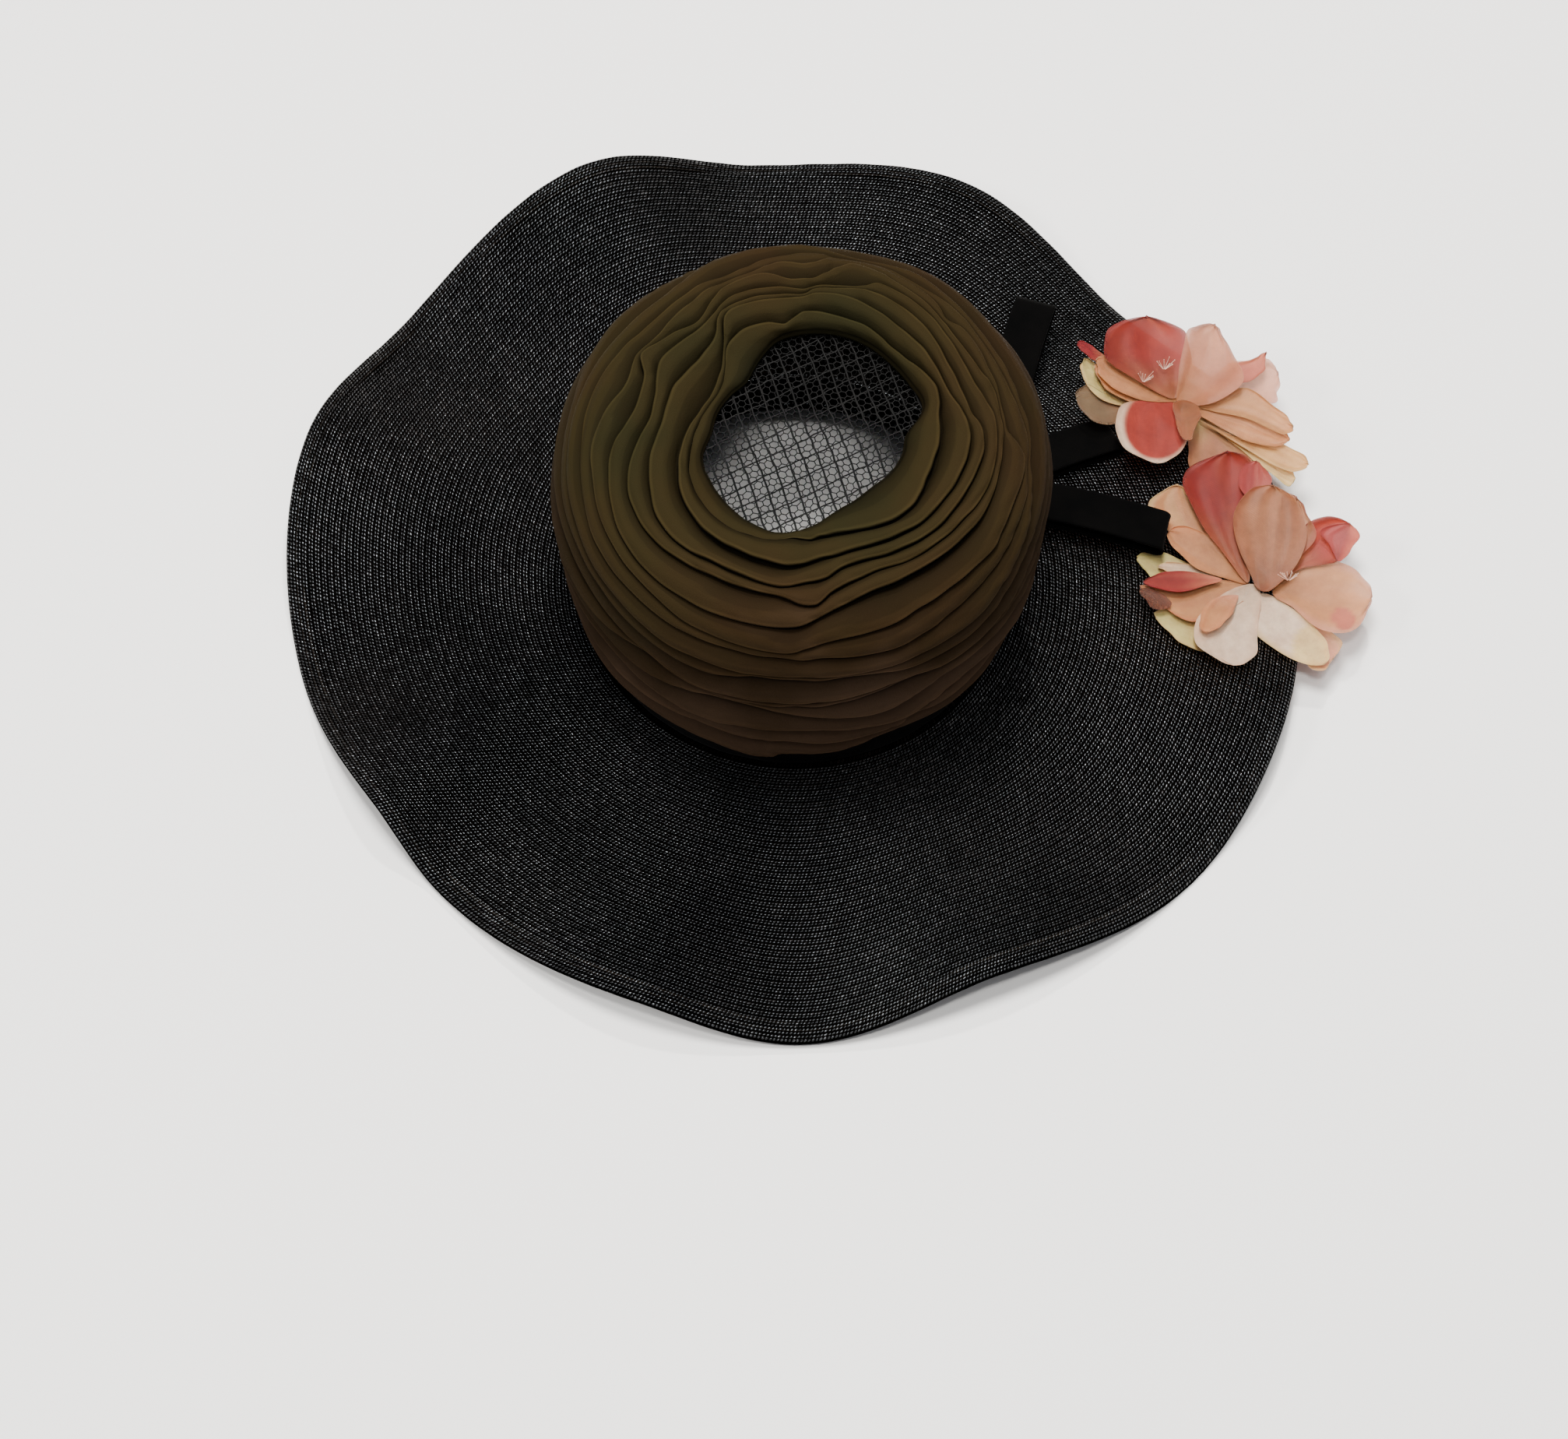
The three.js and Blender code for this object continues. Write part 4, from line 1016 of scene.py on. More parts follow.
# Stiff black thread, a little worn in patches.
def netMaterial():
    material, tree, shader = newMaterial("blackNet")
    place = objectPlace(tree)
    wear = noise(tree, place, 60, 3)
    colour = ramp(tree, wear, [(0.35, (0.0018, 0.0017, 0.0016)), (0.7, (0.0045, 0.004, 0.0038))])
    tree.links.new(colour, shader.inputs["Base Color"])
    tree.links.new(maths(tree, "MULTIPLY_ADD", wear, 0.2, 0.42), shader.inputs["Roughness"])
    shader.inputs["Specular IOR Level"].default_value = 0.15
    bump(tree, shader, noise(tree, place, 2500, 1), 0.4, 0.0001)
    return material


blackNet = netMaterial()
topThreads, sideThreads = netCap(netPlan)
finish(makePiece("netCap", *topThreads), "net", blackNet, "crown_net")
finish(makePiece("netSide", *sideThreads), "net", blackNet)
print("net made", len(topThreads[1]) * 2, len(sideThreads[1]) * 2)


# velvet ribbon
velvetPlan = {
    "innerRadius": 92.95,
    "outerRadius": 94.9,
    "foot": bandFoot,
    "top": 22.0,
    "turns": 300,
    "width": 19.0,
    "wall": 1.1,
    "stripRise": 0.35,  # of the middle of a loop's ribbon over its edges
    "loopRise": 1.2,  # of a loop's layers halfway to the tip
    # up the band: share of its height, and how far its outside stands proud
    "section": [
        (0, -0.6), (0.03, -0.2), (0.08, -0.1), (0.2, 0.1), (0.35, 0.2), (0.5, 0.25), (0.65, 0.2),
        (0.8, 0.1), (0.92, -0.1), (0.97, -0.2), (1.0, -0.6),
    ],
}
# Bow loops: plan of foot and tip, heights of the lower and upper layer at foot and tip, and how
# far the ribbon twists and sways on its way.
bowLoops = [
    ("bow_loop_upper", (90, 55), (112, 146), (7.8, 12.8), (0.0, 7.0), 5.0, 1.5),
    ("bow_loop_middle", (92.3, 50.6), (146, 78), (2.6, 7.0), (-5.2, -0.4), -3.0, 0.6),
    ("bow_loop_lower", (93.5, 37.2), (167, 20.8), (8.4, 13.4), (2.0, 8.0), 4.0, 1.0),
]


# Black velvet: a deep dull black with a sheen of the pile's ends.
def velvetMaterial():
    material, tree, shader = newMaterial("blackVelvet")
    place = objectPlace(tree)
    nap = noise(tree, place, 70, 3)
    colour = ramp(tree, nap, [(0.3, (0.0006, 0.0006, 0.0006)), (0.75, (0.0015, 0.0013, 0.0012))])
    tree.links.new(colour, shader.inputs["Base Color"])
    shader.inputs["Roughness"].default_value = 0.95
    shader.inputs["Specular IOR Level"].default_value = 0.04
    shader.inputs["Sheen Weight"].default_value = 0.014
    shader.inputs["Sheen Roughness"].default_value = 0.35
    bump(tree, shader, noise(tree, place, 2200, 2), 0.6, 0.0002)
    return material


# A ring with soft edges: the outside bows out by a little between the two woven edges.
def ribbonBand(plan):
    degrees = np.arange(plan["turns"])[:, None] * 360 / plan["turns"]
    turn = np.radians(degrees)
    share, proud = np.array(plan["section"]).T
    outer = plan["outerRadius"] + proud + 0.12 * ripple(41, turn, share * 5, 5, (5, 30), (0.3, 2))
    height = plan["foot"] + (plan["top"] - plan["foot"]) * share + 0 * turn
    radius = np.concatenate([outer, np.full_like(outer, plan["innerRadius"])], axis=1)
    level = np.concatenate([height, height[:, ::-1]], axis=1)
    return polar(degrees, radius, level).reshape(-1, 3), ringFaces(plan["turns"], radius.shape[1])


# A strip of ribbon carried along a path, a little higher along its middle than at its edges.
def ribbonStrip(path, sideways, plan):
    across = np.linspace(-1, 1, 15)[:, None]
    normal = unit(np.cross(np.gradient(path, axis=0), sideways))[:, None]
    strip = path[:, None] + sideways[:, None] * (across * plan["width"] / 2)
    return strip + normal * plan["stripRise"] * (1 - across**4)


# A ribbon laid double: it runs out as the lower layer, turns round at the tip on half a circle and
# comes back as the upper one.
def bowLoop(foot, tip, footHeights, tipHeights, twist, swing, plan):
    foot = np.array(foot, dtype=float)
    length = np.linalg.norm(tip - foot)
    direction = (tip - foot) / length
    half = (tipHeights[1] - tipHeights[0]) / 2
    share = np.linspace(0, 1, 40)
    out = share * (length - half)
    lower, upper = (
        start + (end - start) * share + plan["loopRise"] * np.sin(np.pi * share)
        for start, end in zip(footHeights, tipHeights)
    )
    angle = np.linspace(-np.pi / 2, np.pi / 2, 14)[1:-1]
    run = np.concatenate([out, length - half + half * np.cos(angle), out[::-1]])
    height = np.concatenate([lower, tipHeights[0] + half + half * np.sin(angle), upper[::-1]])
    side = np.array([-direction[1], direction[0]])
    swung = swing * np.sin(np.pi * run / length)
    flat = foot + run[:, None] * direction + swung[:, None] * side
    path = np.concatenate([flat, height[:, None]], axis=1)
    tilt = np.radians(twist) * run / length
    sideways = np.stack([side[0] * np.cos(tilt), side[1] * np.cos(tilt), np.sin(tilt)], axis=-1)
    return sheetGrid(ribbonStrip(path, sideways, plan), plan["wall"])


velvet = velvetMaterial()
band = finish(makePiece("velvetBand", *ribbonBand(velvetPlan)), "velvet", velvet, "velvet_band")
for node, foot, tip, *shape in bowLoops:
    name = "bowLoop" + node.rsplit("_", 1)[1].capitalize()
    piece = makePiece(name, *bowLoop(foot, tip, *shape, velvetPlan))
    finish(piece, "velvet", velvet, node)
    doubled = 2 * round(math.dist(foot, tip) * 0.001, 3)

knotPlan = {
    "angle": 27.0,  # round the hat from its right side
    "halfTurn": 88,  # degrees of the barrel on each side of its front
    "axis": 96.2,  # from the middle of the hat to the barrel's axis
    "depth": 6.6,
    "halfWidth": 7.2,
    "pinch": 0.14,
    "creases": 0.05,
    "foot": 2.6,
    "height": 12.4,
    "wall": 1.1,
}


# A tight wrap of ribbon: a half barrel, pinched at its middle, with soft folds along it.
def bowKnot(plan):
    across = np.radians(np.linspace(-plan["halfTurn"], plan["halfTurn"], 33))
    up = np.linspace(0, 1, 24)[:, None]
    pinch = 1 - plan["pinch"] * np.sin(np.pi * up)
    crease = 1 + plan["creases"] * np.cos(across * 7)
    out = plan["depth"] * np.cos(across) * pinch * crease + plan["axis"]
    sideways = plan["halfWidth"] * np.sin(across) * pinch
    height = plan["foot"] + plan["height"] * up + 0 * out
    turn = math.radians(plan["angle"])
    x = out * math.cos(turn) - sideways * math.sin(turn)
    y = out * math.sin(turn) + sideways * math.cos(turn)
    return sheetGrid(np.stack([x, y, height], axis=-1)[:, ::-1], plan["wall"])


knot = finish(makePiece("bowKnot", *bowKnot(knotPlan)), "velvet", velvet, "bow_knot")
print("velvet made")


# silk flowers
flowerPlan = {
    "pixel": 0.3515,  # millimetres for a pixel of the photo, across the line of sight
    "clear": 3.0,  # of the lowest petals over the brim at the stem
    "pitch": 1.25,  # between layers at the stem
    "spread": 0.022,  # more between layers for a millimetre away from it
    "gap": 0.35,  # under the stem
    "wall": 0.2,
    "liftReach": 45.0,  # from the stem to where the bowl has its full rise
    "leastCut": 0.01,  # metres, the narrowest flat size worked out for a petal
    "petalShare": 0.72,  # area of a petal over that of the rectangle round it
    "rows": 40,
    "columns": 34,
    "uvScale": 0.008,  # of the weave, for a millimetre
    "stemRadius": 2.0,
    "stemSpokes": 20,
    "stemOver": 0.4,  # over the lowest petals
    "tuftOver": 3.0,  # over the highest petals
    "stamens": 10,
    "stamenThread": 0.13,
    "headRings": 5,
    "headSpokes": 8,
    "headSize": (0.26, 0.26, 0.4),
}
# colours of the silk
dyes = {
    "rose": (0.175, 0.012, 0.009), "deepRose": (0.145, 0.009, 0.007), "coral": (0.24, 0.02, 0.012),
    "crimson": (0.15, 0.0045, 0.007), "pink": (0.32, 0.042, 0.038), "blush": (0.4, 0.12, 0.058),
    "pale": (0.56, 0.215, 0.14), "salmon": (0.38, 0.085, 0.055), "beige": (0.4, 0.165, 0.068),
    "straw": (0.42, 0.2, 0.07), "cream": (0.66, 0.38, 0.16), "white": (0.68, 0.4, 0.27),
    "lime": (0.47, 0.33, 0.11), "taupe": (0.29, 0.1, 0.045), "smoke": (0.16, 0.096, 0.05),
    "peach": (0.41, 0.15, 0.062), "apricot": (0.46, 0.17, 0.068), "umber": (0.09, 0.028, 0.015),
    "silver": (0.46, 0.28, 0.18), "amber": (0.2, 0.058, 0.013),
}
# A row for each petal: its name, layer, colours of the root, the body and the rim, height of its
# ruffle, how far its tip curls up, its alpha, and its outline. The outline is a closed smooth curve
# that starts at the root and turns at the fifth point, the tip. It was read off the photo in pixels
# to the right of a mark and down from it, and the flower's mark is given in the same way.
flowers = [
    {
        "name": "flower_a", "stem": (178, 93), "mark": (1500, 500), "stemPixel": (1517, 533),
        "view": (0.845, 0.534),
        "lift": {"front": 13, "back": 0, "left": 10, "right": 5},
        "petals": [
            ("smoke", 0.5, "taupe", "smoke", "smoke", 0.5, 0.0, 0.7,
             [(-30, 20), (-80, 10), (-104, -4), (-119, 2), (-123, 13), (-112, 36), (-84, 48), (-55, 40)]),
            ("taupe", 0, "lime", "taupe", "taupe", 0.4, 0.0, 0.9,
             [(38, 34), (33, 52), (24, 76), (26, 105), (60, 130), (100, 112), (102, 80), (62, 47)]),
            ("cream", 1, "straw", "cream", "lime", 0.3, 0.0, 1.0,
             [(60, 52), (106, 77), (138, 100), (158, 109), (158, 121), (148, 127), (120, 104), (92, 80)]),
            ("ivory", 1, "beige", "lime", "cream", 0.4, 0.5, 1.0,
             [(-22, 22), (-68, 4), (-91, -22), (-101, -38), (-111, -37), (-115, -22), (-101, 7), (-65, 23)]),
            ("straw", 2, "amber", "straw", "cream", 0.6, 0.5, 1.0,
             [(40, 42), (94, 66), (136, 70), (166, 84), (177, 99), (157, 109), (122, 95), (82, 68)]),
            ("pale", 2, "salmon", "pale", "pale", 0.8, 1.0, 0.72,
             [(35, 15), (78, -30), (106, -36), (132, -38), (146, -20), (145, 4), (138, 20), (90, 14)]),
            ("fawn", 3, "amber", "apricot", "beige", 0.4, 0.5, 1.0,
             [(16, 20), (-26, 11), (-70, -13), (-90, -30), (-98, -26), (-91, -7), (-64, 13), (-28, 24)]),
            ("amber", 3, "amber", "peach", "beige", 0.5, 0.4, 1.0,
             [(28, 27), (70, 32), (120, 42), (148, 56), (154, 68), (134, 76), (98, 68), (58, 47)]),
            ("crimson", 3, "blush", "crimson", "crimson", 0.2, 1.0, 1.0,
             [(-72, -26), (-86, -44), (-102, -55), (-113, -61),
              (-120, -59), (-116, -49), (-103, -39), (-88, -32)]),
            ("coral", 4, "taupe", "white", "white", 0.3, 0.8, 1.0,
             [(0, 18), (-58, 20), (-74, 46), (-62, 78), (-21, 97), (10, 85), (21, 62), (18, 30)],
             (-19, 50, 45, "coral")),
            ("beige", 4, "amber", "beige", "straw", 0.7, 0.8, 1.0,
             [(22, 20), (62, 13), (102, 0), (142, 28), (159, 50), (145, 60), (102, 41), (57, 30)]),
            ("peach", 4, "amber", "peach", "apricot", 0.5, 0.8, 1.0,
             [(14, 16), (-30, -4), (-70, -32), (-86, -42), (-96, -36), (-93, -20), (-72, 2), (-32, 17)]),
            ("umber", 7.6, "taupe", "taupe", "taupe", 0.2, 0.3, 0.6,
             [(38, 24), (22, 16), (8, 20), (6, 42), (14, 66), (26, 66), (32, 50), (40, 36)]),
            ("rose", 5, "taupe", "rose", "deepRose", 1.4, 1.2, 0.88,
             [(6, 14), (-36, -6), (-84, -42), (-78, -78), (-28, -93), (16, -78), (32, -46), (20, -4)]),
            ("salmon", 5, "salmon", "salmon", "salmon", 0.4, 2.5, 0.95,
             [(86, -8), (89, -30), (105, -36), (118, -41), (129, -46), (127, -30), (122, -18), (104, -8)]),
            ("blush", 6.8, "peach", "blush", "pale", 1.0, 2.0, 0.8,
             [(13, 19), (15, -18), (22, -70), (40, -81), (62, -82), (82, -50), (95, -6), (56, 20)]),
        ],
    },
    {
        "name": "flower_b", "stem": (203.5, -1), "mark": (1600, 700), "stemPixel": (1600, 761),
        "view": (0.866, 0.5),
        "lift": {"front": 12, "back": -2, "left": 1, "right": 6},
        "petals": [
            ("veil", 0, "blush", "pale", "cream", 0.7, 0.0, 0.75,
             [(48, 72), (88, 98), (112, 110), (120, 126), (109, 143), (92, 158), (72, 146), (52, 100)]),
            ("lime", 0, "beige", "lime", "cream", 0.2, 0.3, 1.0,
             [(-30, 92), (-68, 82), (-98, 78), (-116, 82), (-119, 89), (-104, 108), (-82, 125), (-52, 132)]),
            ("mint", 0, "silver", "lime", "lime", 0.2, 0.3, 1.0,
             [(-30, 36), (-68, 22), (-102, 8), (-126, 6), (-139, 13), (-131, 28), (-118, 40), (-78, 38)]),
            ("cream", 1, "white", "white", "cream", 0.3, 0.6, 1.0,
             [(20, 60), (54, 74), (84, 101), (103, 126), (96, 150), (62, 146), (20, 121), (5, 92)],
             (92, 132, 36, "cream")),
            ("shell", 1, "peach", "apricot", "cream", 0.5, 0.6, 1.0,
             [(-6, 40), (-80, -8), (-121, -40), (-116, -64), (-84, -80), (-66, -60), (-48, -28), (-16, 18)]),
            ("silver", 1, "silver", "silver", "cream", 0.3, 0.3, 1.0,
             [(-20, 38), (-56, 26), (-88, 20), (-104, 20), (-112, 26), (-98, 32), (-70, 36), (-44, 39)]),
            ("salmon", 1, "peach", "apricot", "blush", 0.4, 0.4, 0.84,
             [(20, 52), (-40, 42), (-100, 55), (-125, 50), (-137, 52), (-112, 72), (-70, 96), (-10, 74)]),
            ("umber", 2, "umber", "umber", "umber", 0.2, 0.3, 0.7,
             [(-98, 72), (-110, 60), (-122, 55), (-134, 53), (-139, 58), (-132, 68), (-120, 80), (-104, 79)]),
            ("peach", 2, "amber", "peach", "apricot", 0.6, 0.8, 1.0,
             [(4, 46), (-10, 16), (-40, -10), (-75, -27), (-98, -20), (-92, 2), (-60, 28), (-20, 42)]),
            ("blush", 2, "peach", "apricot", "pale", 1.0, 1.0, 0.75,
             [(36, 58), (66, 28), (110, 17), (148, 32), (162, 64), (140, 104), (100, 108), (60, 78)],
             (124, 92, 15, "salmon")),
            ("white", 2, "silver", "white", "white", 0.5, 0.6, 0.9,
             [(14, 48), (-28, 60), (-66, 92), (-66, 126), (-24, 150), (8, 138), (11, 105), (20, 76)]),
            ("sliver", 3, "blush", "rose", "crimson", 0.2, 0.6, 1.0,
             [(-30, 42), (-60, 34), (-86, 31), (-116, 35), (-134, 46), (-120, 52), (-88, 58), (-52, 50)]),
            ("curl", 3, "taupe", "rose", "deepRose", 0.6, 1.5, 0.93,
             [(46, 43), (66, 6), (80, -26), (108, -40), (138, -30), (136, 2), (118, 19), (78, 27)]),
            ("apricot", 4, "pale", "apricot", "apricot", 0.2, 0.3, 0.8,
             [(-10, 62), (-40, 65), (-58, 80), (-65, 100), (-55, 109), (-38, 102), (-22, 88), (-14, 72)]),
            ("turnover", 4, "rose", "pink", "pink", 0.3, 1.5, 0.95,
             [(120, 17), (110, -4), (100, -22), (118, -29), (138, -30), (149, -17), (140, 2), (128, 15)]),
            ("rose", 3, "taupe", "rose", "deepRose", 1.2, 1.0, 0.88,
             [(4, 46), (-34, -2), (-72, -58), (-74, -97), (-20, -123), (12, -110), (12, -64), (5, 0)]),
            ("pink", 4, "pink", "pink", "pink", 0.2, 0.6, 0.85,
             [(12, -58), (-4, -78), (-5, -94), (4, -107), (18, -111), (31, -100), (37, -86), (30, -64)]),
            ("fawn", 4, "taupe", "taupe", "salmon", 0.7, 1.0, 0.85,
             [(48, 36), (42, -10), (48, -56), (56, -68), (70, -64), (86, -38), (93, -14), (70, 16)]),
            ("taupe", 5, "umber", "taupe", "taupe", 0.9, 1.4, 0.88,
             [(22, 57), (4, 30), (-13, -20), (0, -68), (40, -79), (74, -50), (79, -4), (50, 42)]),
        ],
    },
]
slotPetals = {
    "rose_silk": "rose coral crimson curl sliver pink turnover",
    "blush_silk": "blush pale veil salmon shell apricot",
    "beige_silk": "beige straw taupe smoke peach fawn amber umber",
    "cream_silk": "cream ivory white lime mint silver",
}
silkSlots = {petal: slot for slot, petals in slotPetals.items() for petal in petals.split()}


# Dyed silk: the dye is painted by an attribute, with a fine weave and faint veins.
def silkMaterial(name, sheen):
    material, tree, shader = newMaterial(name)
    place = objectPlace(tree)
    dye = put(tree, "ShaderNodeAttribute", attribute_name="dye")
    mottle = noise(tree, place, 90, 5, 0.7)
    mottle = ramp(tree, mottle, [(0.3, (0.74, 0.7, 0.68)), (0.7, (1.12, 1.12, 1.12))])
    colour = mixColour(tree, 1.0, dye.outputs["Color"], mottle, "MULTIPLY")
    tree.links.new(colour, shader.inputs["Base Color"])
    tree.links.new(dye.outputs["Alpha"], shader.inputs["Alpha"])
    shader.inputs["Roughness"].default_value = 0.6
    shader.inputs["Specular IOR Level"].default_value = 0.3
    shader.inputs["Subsurface Weight"].default_value = 0.55
    shader.inputs["Subsurface Scale"].default_value = 0.003
    shader.inputs["Subsurface Radius"].default_value = (1.0, 0.55, 0.4)
    shader.inputs["Sheen Weight"].default_value = sheen
    shader.inputs["Sheen Roughness"].default_value = 0.4
    flatPlace, u, v = weavePlace(tree)
    warp = maths(tree, "SINE", maths(tree, "MULTIPLY", u, 2 * math.pi * 90))
    weft = maths(tree, "SINE", maths(tree, "MULTIPLY", v, 2 * math.pi * 120))
    weave = bump(tree, None, maths(tree, "MULTIPLY", warp, weft), 0.18, 0.00012)
    vein = noise(tree, putScaled(tree, flatPlace, (26, 2, 1)), 1, 3)
    bump(tree, shader, vein, 0.3, 0.0003, weave)
    return material


silkSheens = {"rose": 0.12, "blush": 0.15, "beige": 0.12, "cream": 0.12}
silks = {f"{dye}_silk": silkMaterial(f"{dye}Silk", sheen) for dye, sheen in silkSheens.items()}


# Rise of a flower's bowl beside its stem: a mix of the lifts on the four sides, growing with the
# power one and a half of the distance.
def bowlRise(lift, x, y, plan=flowerPlan):
    out = np.hypot(x, y) + 1e-6
    side = np.where(x > 0, lift["right"], lift["left"])
    end = np.where(y > 0, lift["front"], lift["back"])
    return (side * x**2 + end * y**2) / out**2 * (out / plan["liftReach"]) ** 1.5


# A flower's seat: its place on the brim, and the brim's slopes there.
def seatFrame(stem):
    x, y = stem

    def level(a, b):
        return float(brimTop(np.degrees(np.arctan2(b, a)) % 360, np.hypot(a, b)))

    slopes = ((level(x + 5, y) - level(x - 5, y)) / 10, (level(x, y + 5) - level(x, y - 5)) / 10)
    return np.array([x, y, level(x, y)]), slopes


# Closed smooth curve through eight points, the first the root and the fifth the tip, as its two
# sides from root to tip.
def outlineSides(points):
    points = np.array(points, dtype=float)
    steps = np.linspace(0, 4, flowerPlan["rows"])
    steps = 4 * np.sin(steps / 4 * np.pi / 2) ** 1.3  # closer together near the tip
    knots = np.arange(-3, 12)
    closed = points[np.mod(knots, 8)]
    left = np.stack([hermite(knots, closed[:, axis], steps) for axis in (0, 1)], axis=-1)
    right = np.stack([hermite(knots, closed[:, axis], 8 - steps) for axis in (0, 1)], axis=-1)
    return left, right


# Between two colours, by a share for each point.
def blend(first, second, share):
    return np.array(first) * (1 - share) + np.array(second) * share


# A petal: straight lines between the two sides of its outline, cupped across, ruffled along the rim
# and curled up at the tip. Each point slides along the line of sight until it lies at its own
# height over the brim.
def petalSheet(row, flower, seat, seed, plan):
    _, layer, rootDye, bodyDye, rimDye, ruffle, curl, alpha, outline = row[:9]
    random = np.random.default_rng(seed)
    left, right = outlineSides(outline)
    u = np.sin(np.linspace(-np.pi / 2, np.pi / 2, plan["columns"]))[None, :]
    v = np.linspace(0, 1, plan["rows"])[:, None]
    flat = left[:, None] + (right - left)[:, None] * ((u + 1) / 2)[..., None]
    side = np.sign(u)
    ragged = np.sin(17 * v + side * 4 + seed) + 0.6 * np.sin(31 * v - side * 3 + 2 * seed)
    flat[..., 0] += (0.9 + 0.8 * ruffle) * np.sin(np.pi * v) * ragged * u**3
    fringe = np.sin(6.5 * u + seed) + 0.6 * np.sin(13 * u + 3 * seed)
    flat[..., 1] += (0.6 + 0.8 * ruffle) * fringe * v**6
    mark = np.array(flower["mark"]) - np.array(flower["stemPixel"])
    across = (flat[..., 0] + mark[0]) * plan["pixel"]
    upward = -(flat[..., 1] + mark[1]) * plan["pixel"]
    width = np.abs(right - left).sum(axis=1)[:, None] * plan["pixel"]
    phase = random.uniform(0, 2 * np.pi, 6)
    edge = np.clip(np.abs(u) ** 2.2 + v**5, 0, 1)
    wave = np.sin(5.5 * u + 5 * v + phase[0]) + 0.7 * np.sin(9 * u - 8 * v + phase[1])
    wave = wave + 0.5 * np.sin(15 * v + 4 * u + phase[2])
    own = ruffle * 0.75 * wave * (0.25 + edge) * np.clip(v * 2, 0, 1)
    own = own + random.uniform(0.05, 0.085) * width * (u**2 - 0.35) * np.clip(v * 2.5, 0, 1)
    own = own + 0.004 * width * np.sin(12 * u + 3 * v + phase[3]) * np.sin(np.pi * v)
    own = own + curl * np.clip((v - 0.72) / 0.28, 0, 1) ** 2
    place, slopes = seat
    sight, lift = flower["view"]
    y = upward / sight
    for _ in range(6):
        far = np.hypot(across, y)
        height = plan["clear"] + slopes[0] * across + slopes[1] * y + bowlRise(flower["lift"], across, y)
        pitch = (plan["pitch"] + plan["spread"] * far) * np.clip(0.25 + far / 16, 0, 1)
        height = height + layer * pitch + own
        y = 0.5 * y + 0.5 * (upward - (height - plan["clear"]) * lift) / sight
    grid = np.stack([across + place[0], y + place[1], height + place[2]], axis=-1)
    rim = np.clip((edge - 0.45) / 0.5, 0, 1)
    rootShare = np.clip(1 - v / 0.4, 0, 1) ** 1.2 + 0 * u
    blotch = 0.14 * ripple(seed, u * 2 + 0 * v, v * 3 + 0 * u, 5, (1, 3), (0.5, 3))
    rim = np.clip(0.75 * rim + blotch, 0, 1)[..., None]
    rootShare = np.clip(rootShare + 0.5 * blotch, 0, 1)[..., None]
    colour = blend(blend(dyes[bodyDye], dyes[rimDye], rim), dyes[rootDye], rootShare)
    if len(row) > 9:
        spotX, spotY, spotRadius, spotDye = row[9]
        near = np.hypot(flat[..., 0] - spotX, flat[..., 1] - spotY) / spotRadius
        colour = blend(colour, dyes[spotDye], np.clip((1.04 - near) / 0.14, 0, 1)[..., None])
    dye = np.concatenate([colour, alpha * (1 - 0.34 * rim**2)], axis=-1)
    run = np.cumsum(np.linalg.norm(np.diff(grid, axis=0, prepend=grid[:1]), axis=-1), axis=0)
    return grid, dye, u * width / 2, run


# Keeps the shading of a sheet's two faces apart from that of its thin rim.
def sharpenRim(mesh, rows, columns):
    i, j = np.divmod(np.arange(rows * columns), columns)
    border = (i == 0) | (i == rows - 1) | (j == 0) | (j == columns - 1)
    ends = np.empty(len(mesh.edges) * 2, dtype=np.int32)
    mesh.edges.foreach_get("vertices", ends)
    ends = ends.reshape(-1, 2)
    sameFace = (ends[:, 0] < len(border)) == (ends[:, 1] < len(border))
    sharp = sameFace & border[ends[:, 0] % len(border)] & border[ends[:, 1] % len(border)]
    mesh.attributes.new("sharp_edge", "BOOLEAN", "EDGE").data.foreach_set("value", sharp)


# A petal as a thin wall with its upper face up, the area inside its outline, and its flat size.
def petalPiece(name, row, flower, seat, seed, plan):
    grid, dye, acrossRun, alongRun = petalSheet(row, flower, seat, seed, plan)
    facing = np.cross(grid[20, 20] - grid[10, 20], grid[20, 24] - grid[20, 14])
    if facing[2] < 0:
        grid, dye, acrossRun, alongRun = (part[:, ::-1] for part in (grid, dye, acrossRun, alongRun))
    points, faces = sheetGrid(grid, plan["wall"])
    flatU = np.concatenate([acrossRun.ravel()] * 2) * plan["uvScale"]
    flatV = np.concatenate([alongRun.ravel()] * 2) * plan["uvScale"]
    uv = np.stack([flatU[faces], flatV[faces]], axis=-1).reshape(-1, 2)
    piece = makePiece(name, points, faces, uv, colours=np.concatenate([dye.reshape(-1, 4)] * 2))
    sharpenRim(piece.data, plan["rows"], plan["columns"])
    loop = np.concatenate([grid[:, 0], grid[::-1, -1]]) * millimetre
    area = np.linalg.norm(np.cross(loop, np.roll(loop, -1, axis=0)).sum(axis=0)) / 2
    length = alongRun[-1, plan["columns"] // 2] * millimetre
    return piece, area, (area / (plan["petalShare"] * length), length)


# A thread-wound stem: a tapered tube whose radius ripples with each turn of the thread.
def stemPiece(name, seat, plan):
    level = np.linspace(plan["gap"], plan["clear"] + plan["stemOver"], 40)[:, None]
    radius = plan["stemRadius"] + 0.18 * np.abs(np.sin(level * 3.2)) + 1.2 * np.exp(-level)
    radius[[0, -1]] = 0.02
    degrees = np.arange(plan["stemSpokes"]) * 360 / plan["stemSpokes"]
    grid = polar(degrees, radius, level + 0 * degrees)
    return makePiece(name, grid.reshape(-1, 3) + seat[0], tubeFaces(len(level), plan["stemSpokes"]))


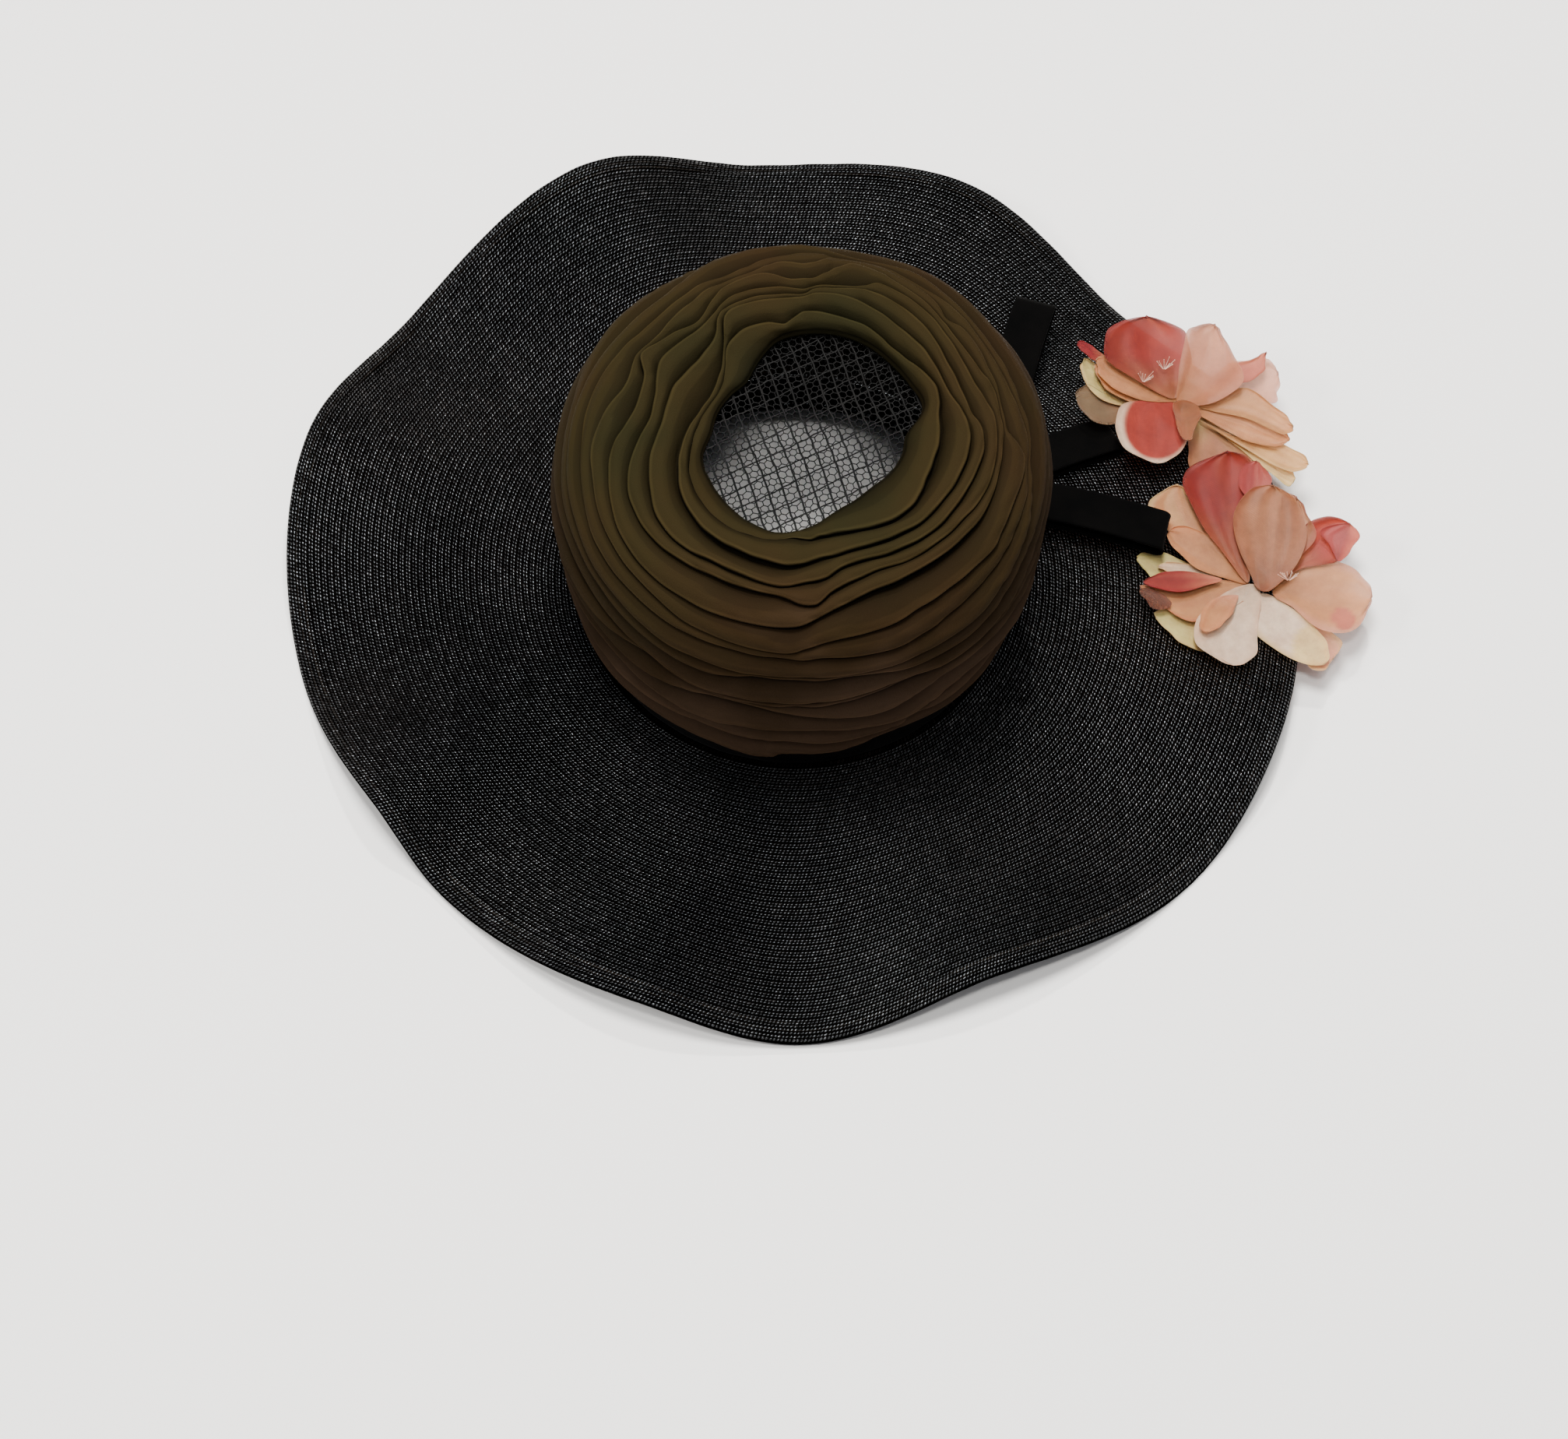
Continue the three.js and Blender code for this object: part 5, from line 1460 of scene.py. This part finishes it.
# Stamens: fine threads that fan out from each place, each with a small oval head.
def stamenPiece(name, seat, places, base, seed, plan):
    random = np.random.default_rng(seed)
    count, rings, spokes = plan["stamens"], plan["headRings"], plan["headSpokes"]
    down = np.linspace(0.12, np.pi - 0.12, rings)[:, None]
    degrees = np.arange(spokes) * 360 / spokes
    ball = polar(degrees, np.sin(down), -np.cos(down) + 0 * degrees).reshape(-1, 3)
    quads = tubeFaces(rings, spokes)
    allPoints, allFaces, start = [], [], 0
    for place in places:
        angle = random.uniform(0.1 * np.pi, 0.9 * np.pi, count)
        leanOut = random.uniform(0.5, 1.2, count)
        length = random.uniform(3.5, 7.0, count)
        degrees = np.degrees(angle)
        foot = np.array([*place, base]) + polar(degrees, 0.5, 0 * angle)
        head = foot + polar(degrees, np.sin(leanOut) * length, np.cos(leanOut) * length * 0.5)
        points, faces = threads(foot, head, plan["stamenThread"])
        heads = ball * np.array(plan["headSize"]) + head[:, None]
        headFaces = quads + len(points) + np.arange(count)[:, None, None] * len(ball)
        allPoints += [points, heads.reshape(-1, 3)]
        allFaces += [faces + start, headFaces.reshape(-1, 4) + start]
        start += len(points) + heads.size // 3
    return makePiece(name, np.concatenate(allPoints) + seat[0], np.concatenate(allFaces))


# A plain material between two colours, in fine patches.
def plainMaterial(name, low, high, roughness):
    material, tree, shader = newMaterial(name)
    place = objectPlace(tree)
    colour = ramp(tree, noise(tree, place, 300, 3), [(0.3, low), (0.7, high)])
    tree.links.new(colour, shader.inputs["Base Color"])
    shader.inputs["Roughness"].default_value = roughness
    bump(tree, shader, noise(tree, place, 1400, 2), 0.4, 0.0002)
    return material


stemThread = plainMaterial("stemThread", (0.05, 0.025, 0.012), (0.11, 0.055, 0.028), 0.8)
waxedThread = plainMaterial("waxedThread", (0.5, 0.24, 0.17), (0.8, 0.56, 0.44), 0.45)
# places of each flower's stamen tufts beside its stem
tuftPlaces = {"flower_a": [(-8, 15), (-18, 8)], "flower_b": [(19, 1)]}
for number, flower in enumerate(flowers):
    title = flower["name"]
    seat = seatFrame(flower["stem"])
    layers = max(row[1] for row in flower["petals"]) + 1
    stem = finish(stemPiece(f"{title}_woundStem", seat, flowerPlan), "stem", stemThread, f"{title}_stem")
    for order, row in enumerate(flower["petals"]):
        seed = 100 * (number + 1) + order
        piece, area, cut = petalPiece(f"{title}_{row[0]}", row, flower, seat, seed, flowerPlan)
        slot = silkSlots[row[0]]
        node = f"{title}_petal_{row[0]}"
        finish(piece, slot, silks[slot], *([node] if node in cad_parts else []))
        flatSize = [max(round(side, 3), flowerPlan["leastCut"]) for side in cut]
    base = flowerPlan["clear"] + layers * flowerPlan["pitch"] + flowerPlan["tuftOver"]
    tuft = stamenPiece(f"{title}_stamenTuft", seat, tuftPlaces[title], base, 900 + number, flowerPlan)
    finish(tuft, "stamens", waxedThread, f"{title}_stamens")
print("flowers made")


# floor and light
stagePlan = {
    "floor": (0.96, 0.945, 0.92),
    "floorRough": 0.7,
    "floorReach": 4.0,  # metres
    "world": (0.93, 0.94, 0.98),
    "worldStrength": 0.38,
    # name, place and height of the point that it is aimed at, size, power in watts, colour
    "lights": [
        ("overhead", (-0.15, 0.25, 2.4), 0.05, 0.8, 92, (1.0, 0.985, 0.96)),
        ("windowLight", (-1.9, -0.5, 2.0), 0.05, 0.7, 38, (1.0, 0.99, 0.97)),
        ("fillLight", (1.9, 1.2, 1.8), 0.05, 1.2, 9, (1.0, 0.985, 0.96)),
        ("glintLight", (0.25, 1.3, 2.1), 0.02, 0.16, 38, (1.0, 0.97, 0.93)),
        ("foldLight", (0.1, -0.72, 2.35), 0.05, 0.3, 26, (1.0, 0.99, 0.97)),
    ],
}


# A plain pale floor under the hat.
def addFloor(plan):
    mesh = bpy.data.meshes.new("floor")
    reach = plan["floorReach"]
    corners = [(-reach, -reach, 0), (reach, -reach, 0), (reach, reach, 0), (-reach, reach, 0)]
    mesh.from_pydata(corners, [], [(0, 1, 2, 3)])
    floor = bpy.data.objects.new("floor", mesh)
    scene.collection.objects.link(floor)
    material, _, shader = newMaterial("paleFloor")
    shader.inputs["Base Color"].default_value = (*plan["floor"], 1)
    shader.inputs["Roughness"].default_value = plan["floorRough"]
    floor.data.materials.append(material)


# A round area light aimed at a point over the middle of the floor.
def addLight(name, place, aimHeight, size, power, colour):
    light = bpy.data.lights.new(name, "AREA")
    light.shape = "DISK"
    light.size = size
    light.energy = power
    light.color = colour
    holder = bpy.data.objects.new(name, light)
    holder.location = place
    sight = Vector((0, 0, aimHeight)) - Vector(place)
    holder.rotation_euler = sight.to_track_quat("-Z", "Y").to_euler()
    scene.collection.objects.link(holder)


addFloor(stagePlan)
world = bpy.data.worlds.new("softRoom")
world.use_nodes = True
background = world.node_tree.nodes["Background"]
background.inputs["Color"].default_value = (*stagePlan["world"], 1)
background.inputs["Strength"].default_value = stagePlan["worldStrength"]
scene.world = world
for light in stagePlan["lights"]:
    addLight(*light)
print("stage made")
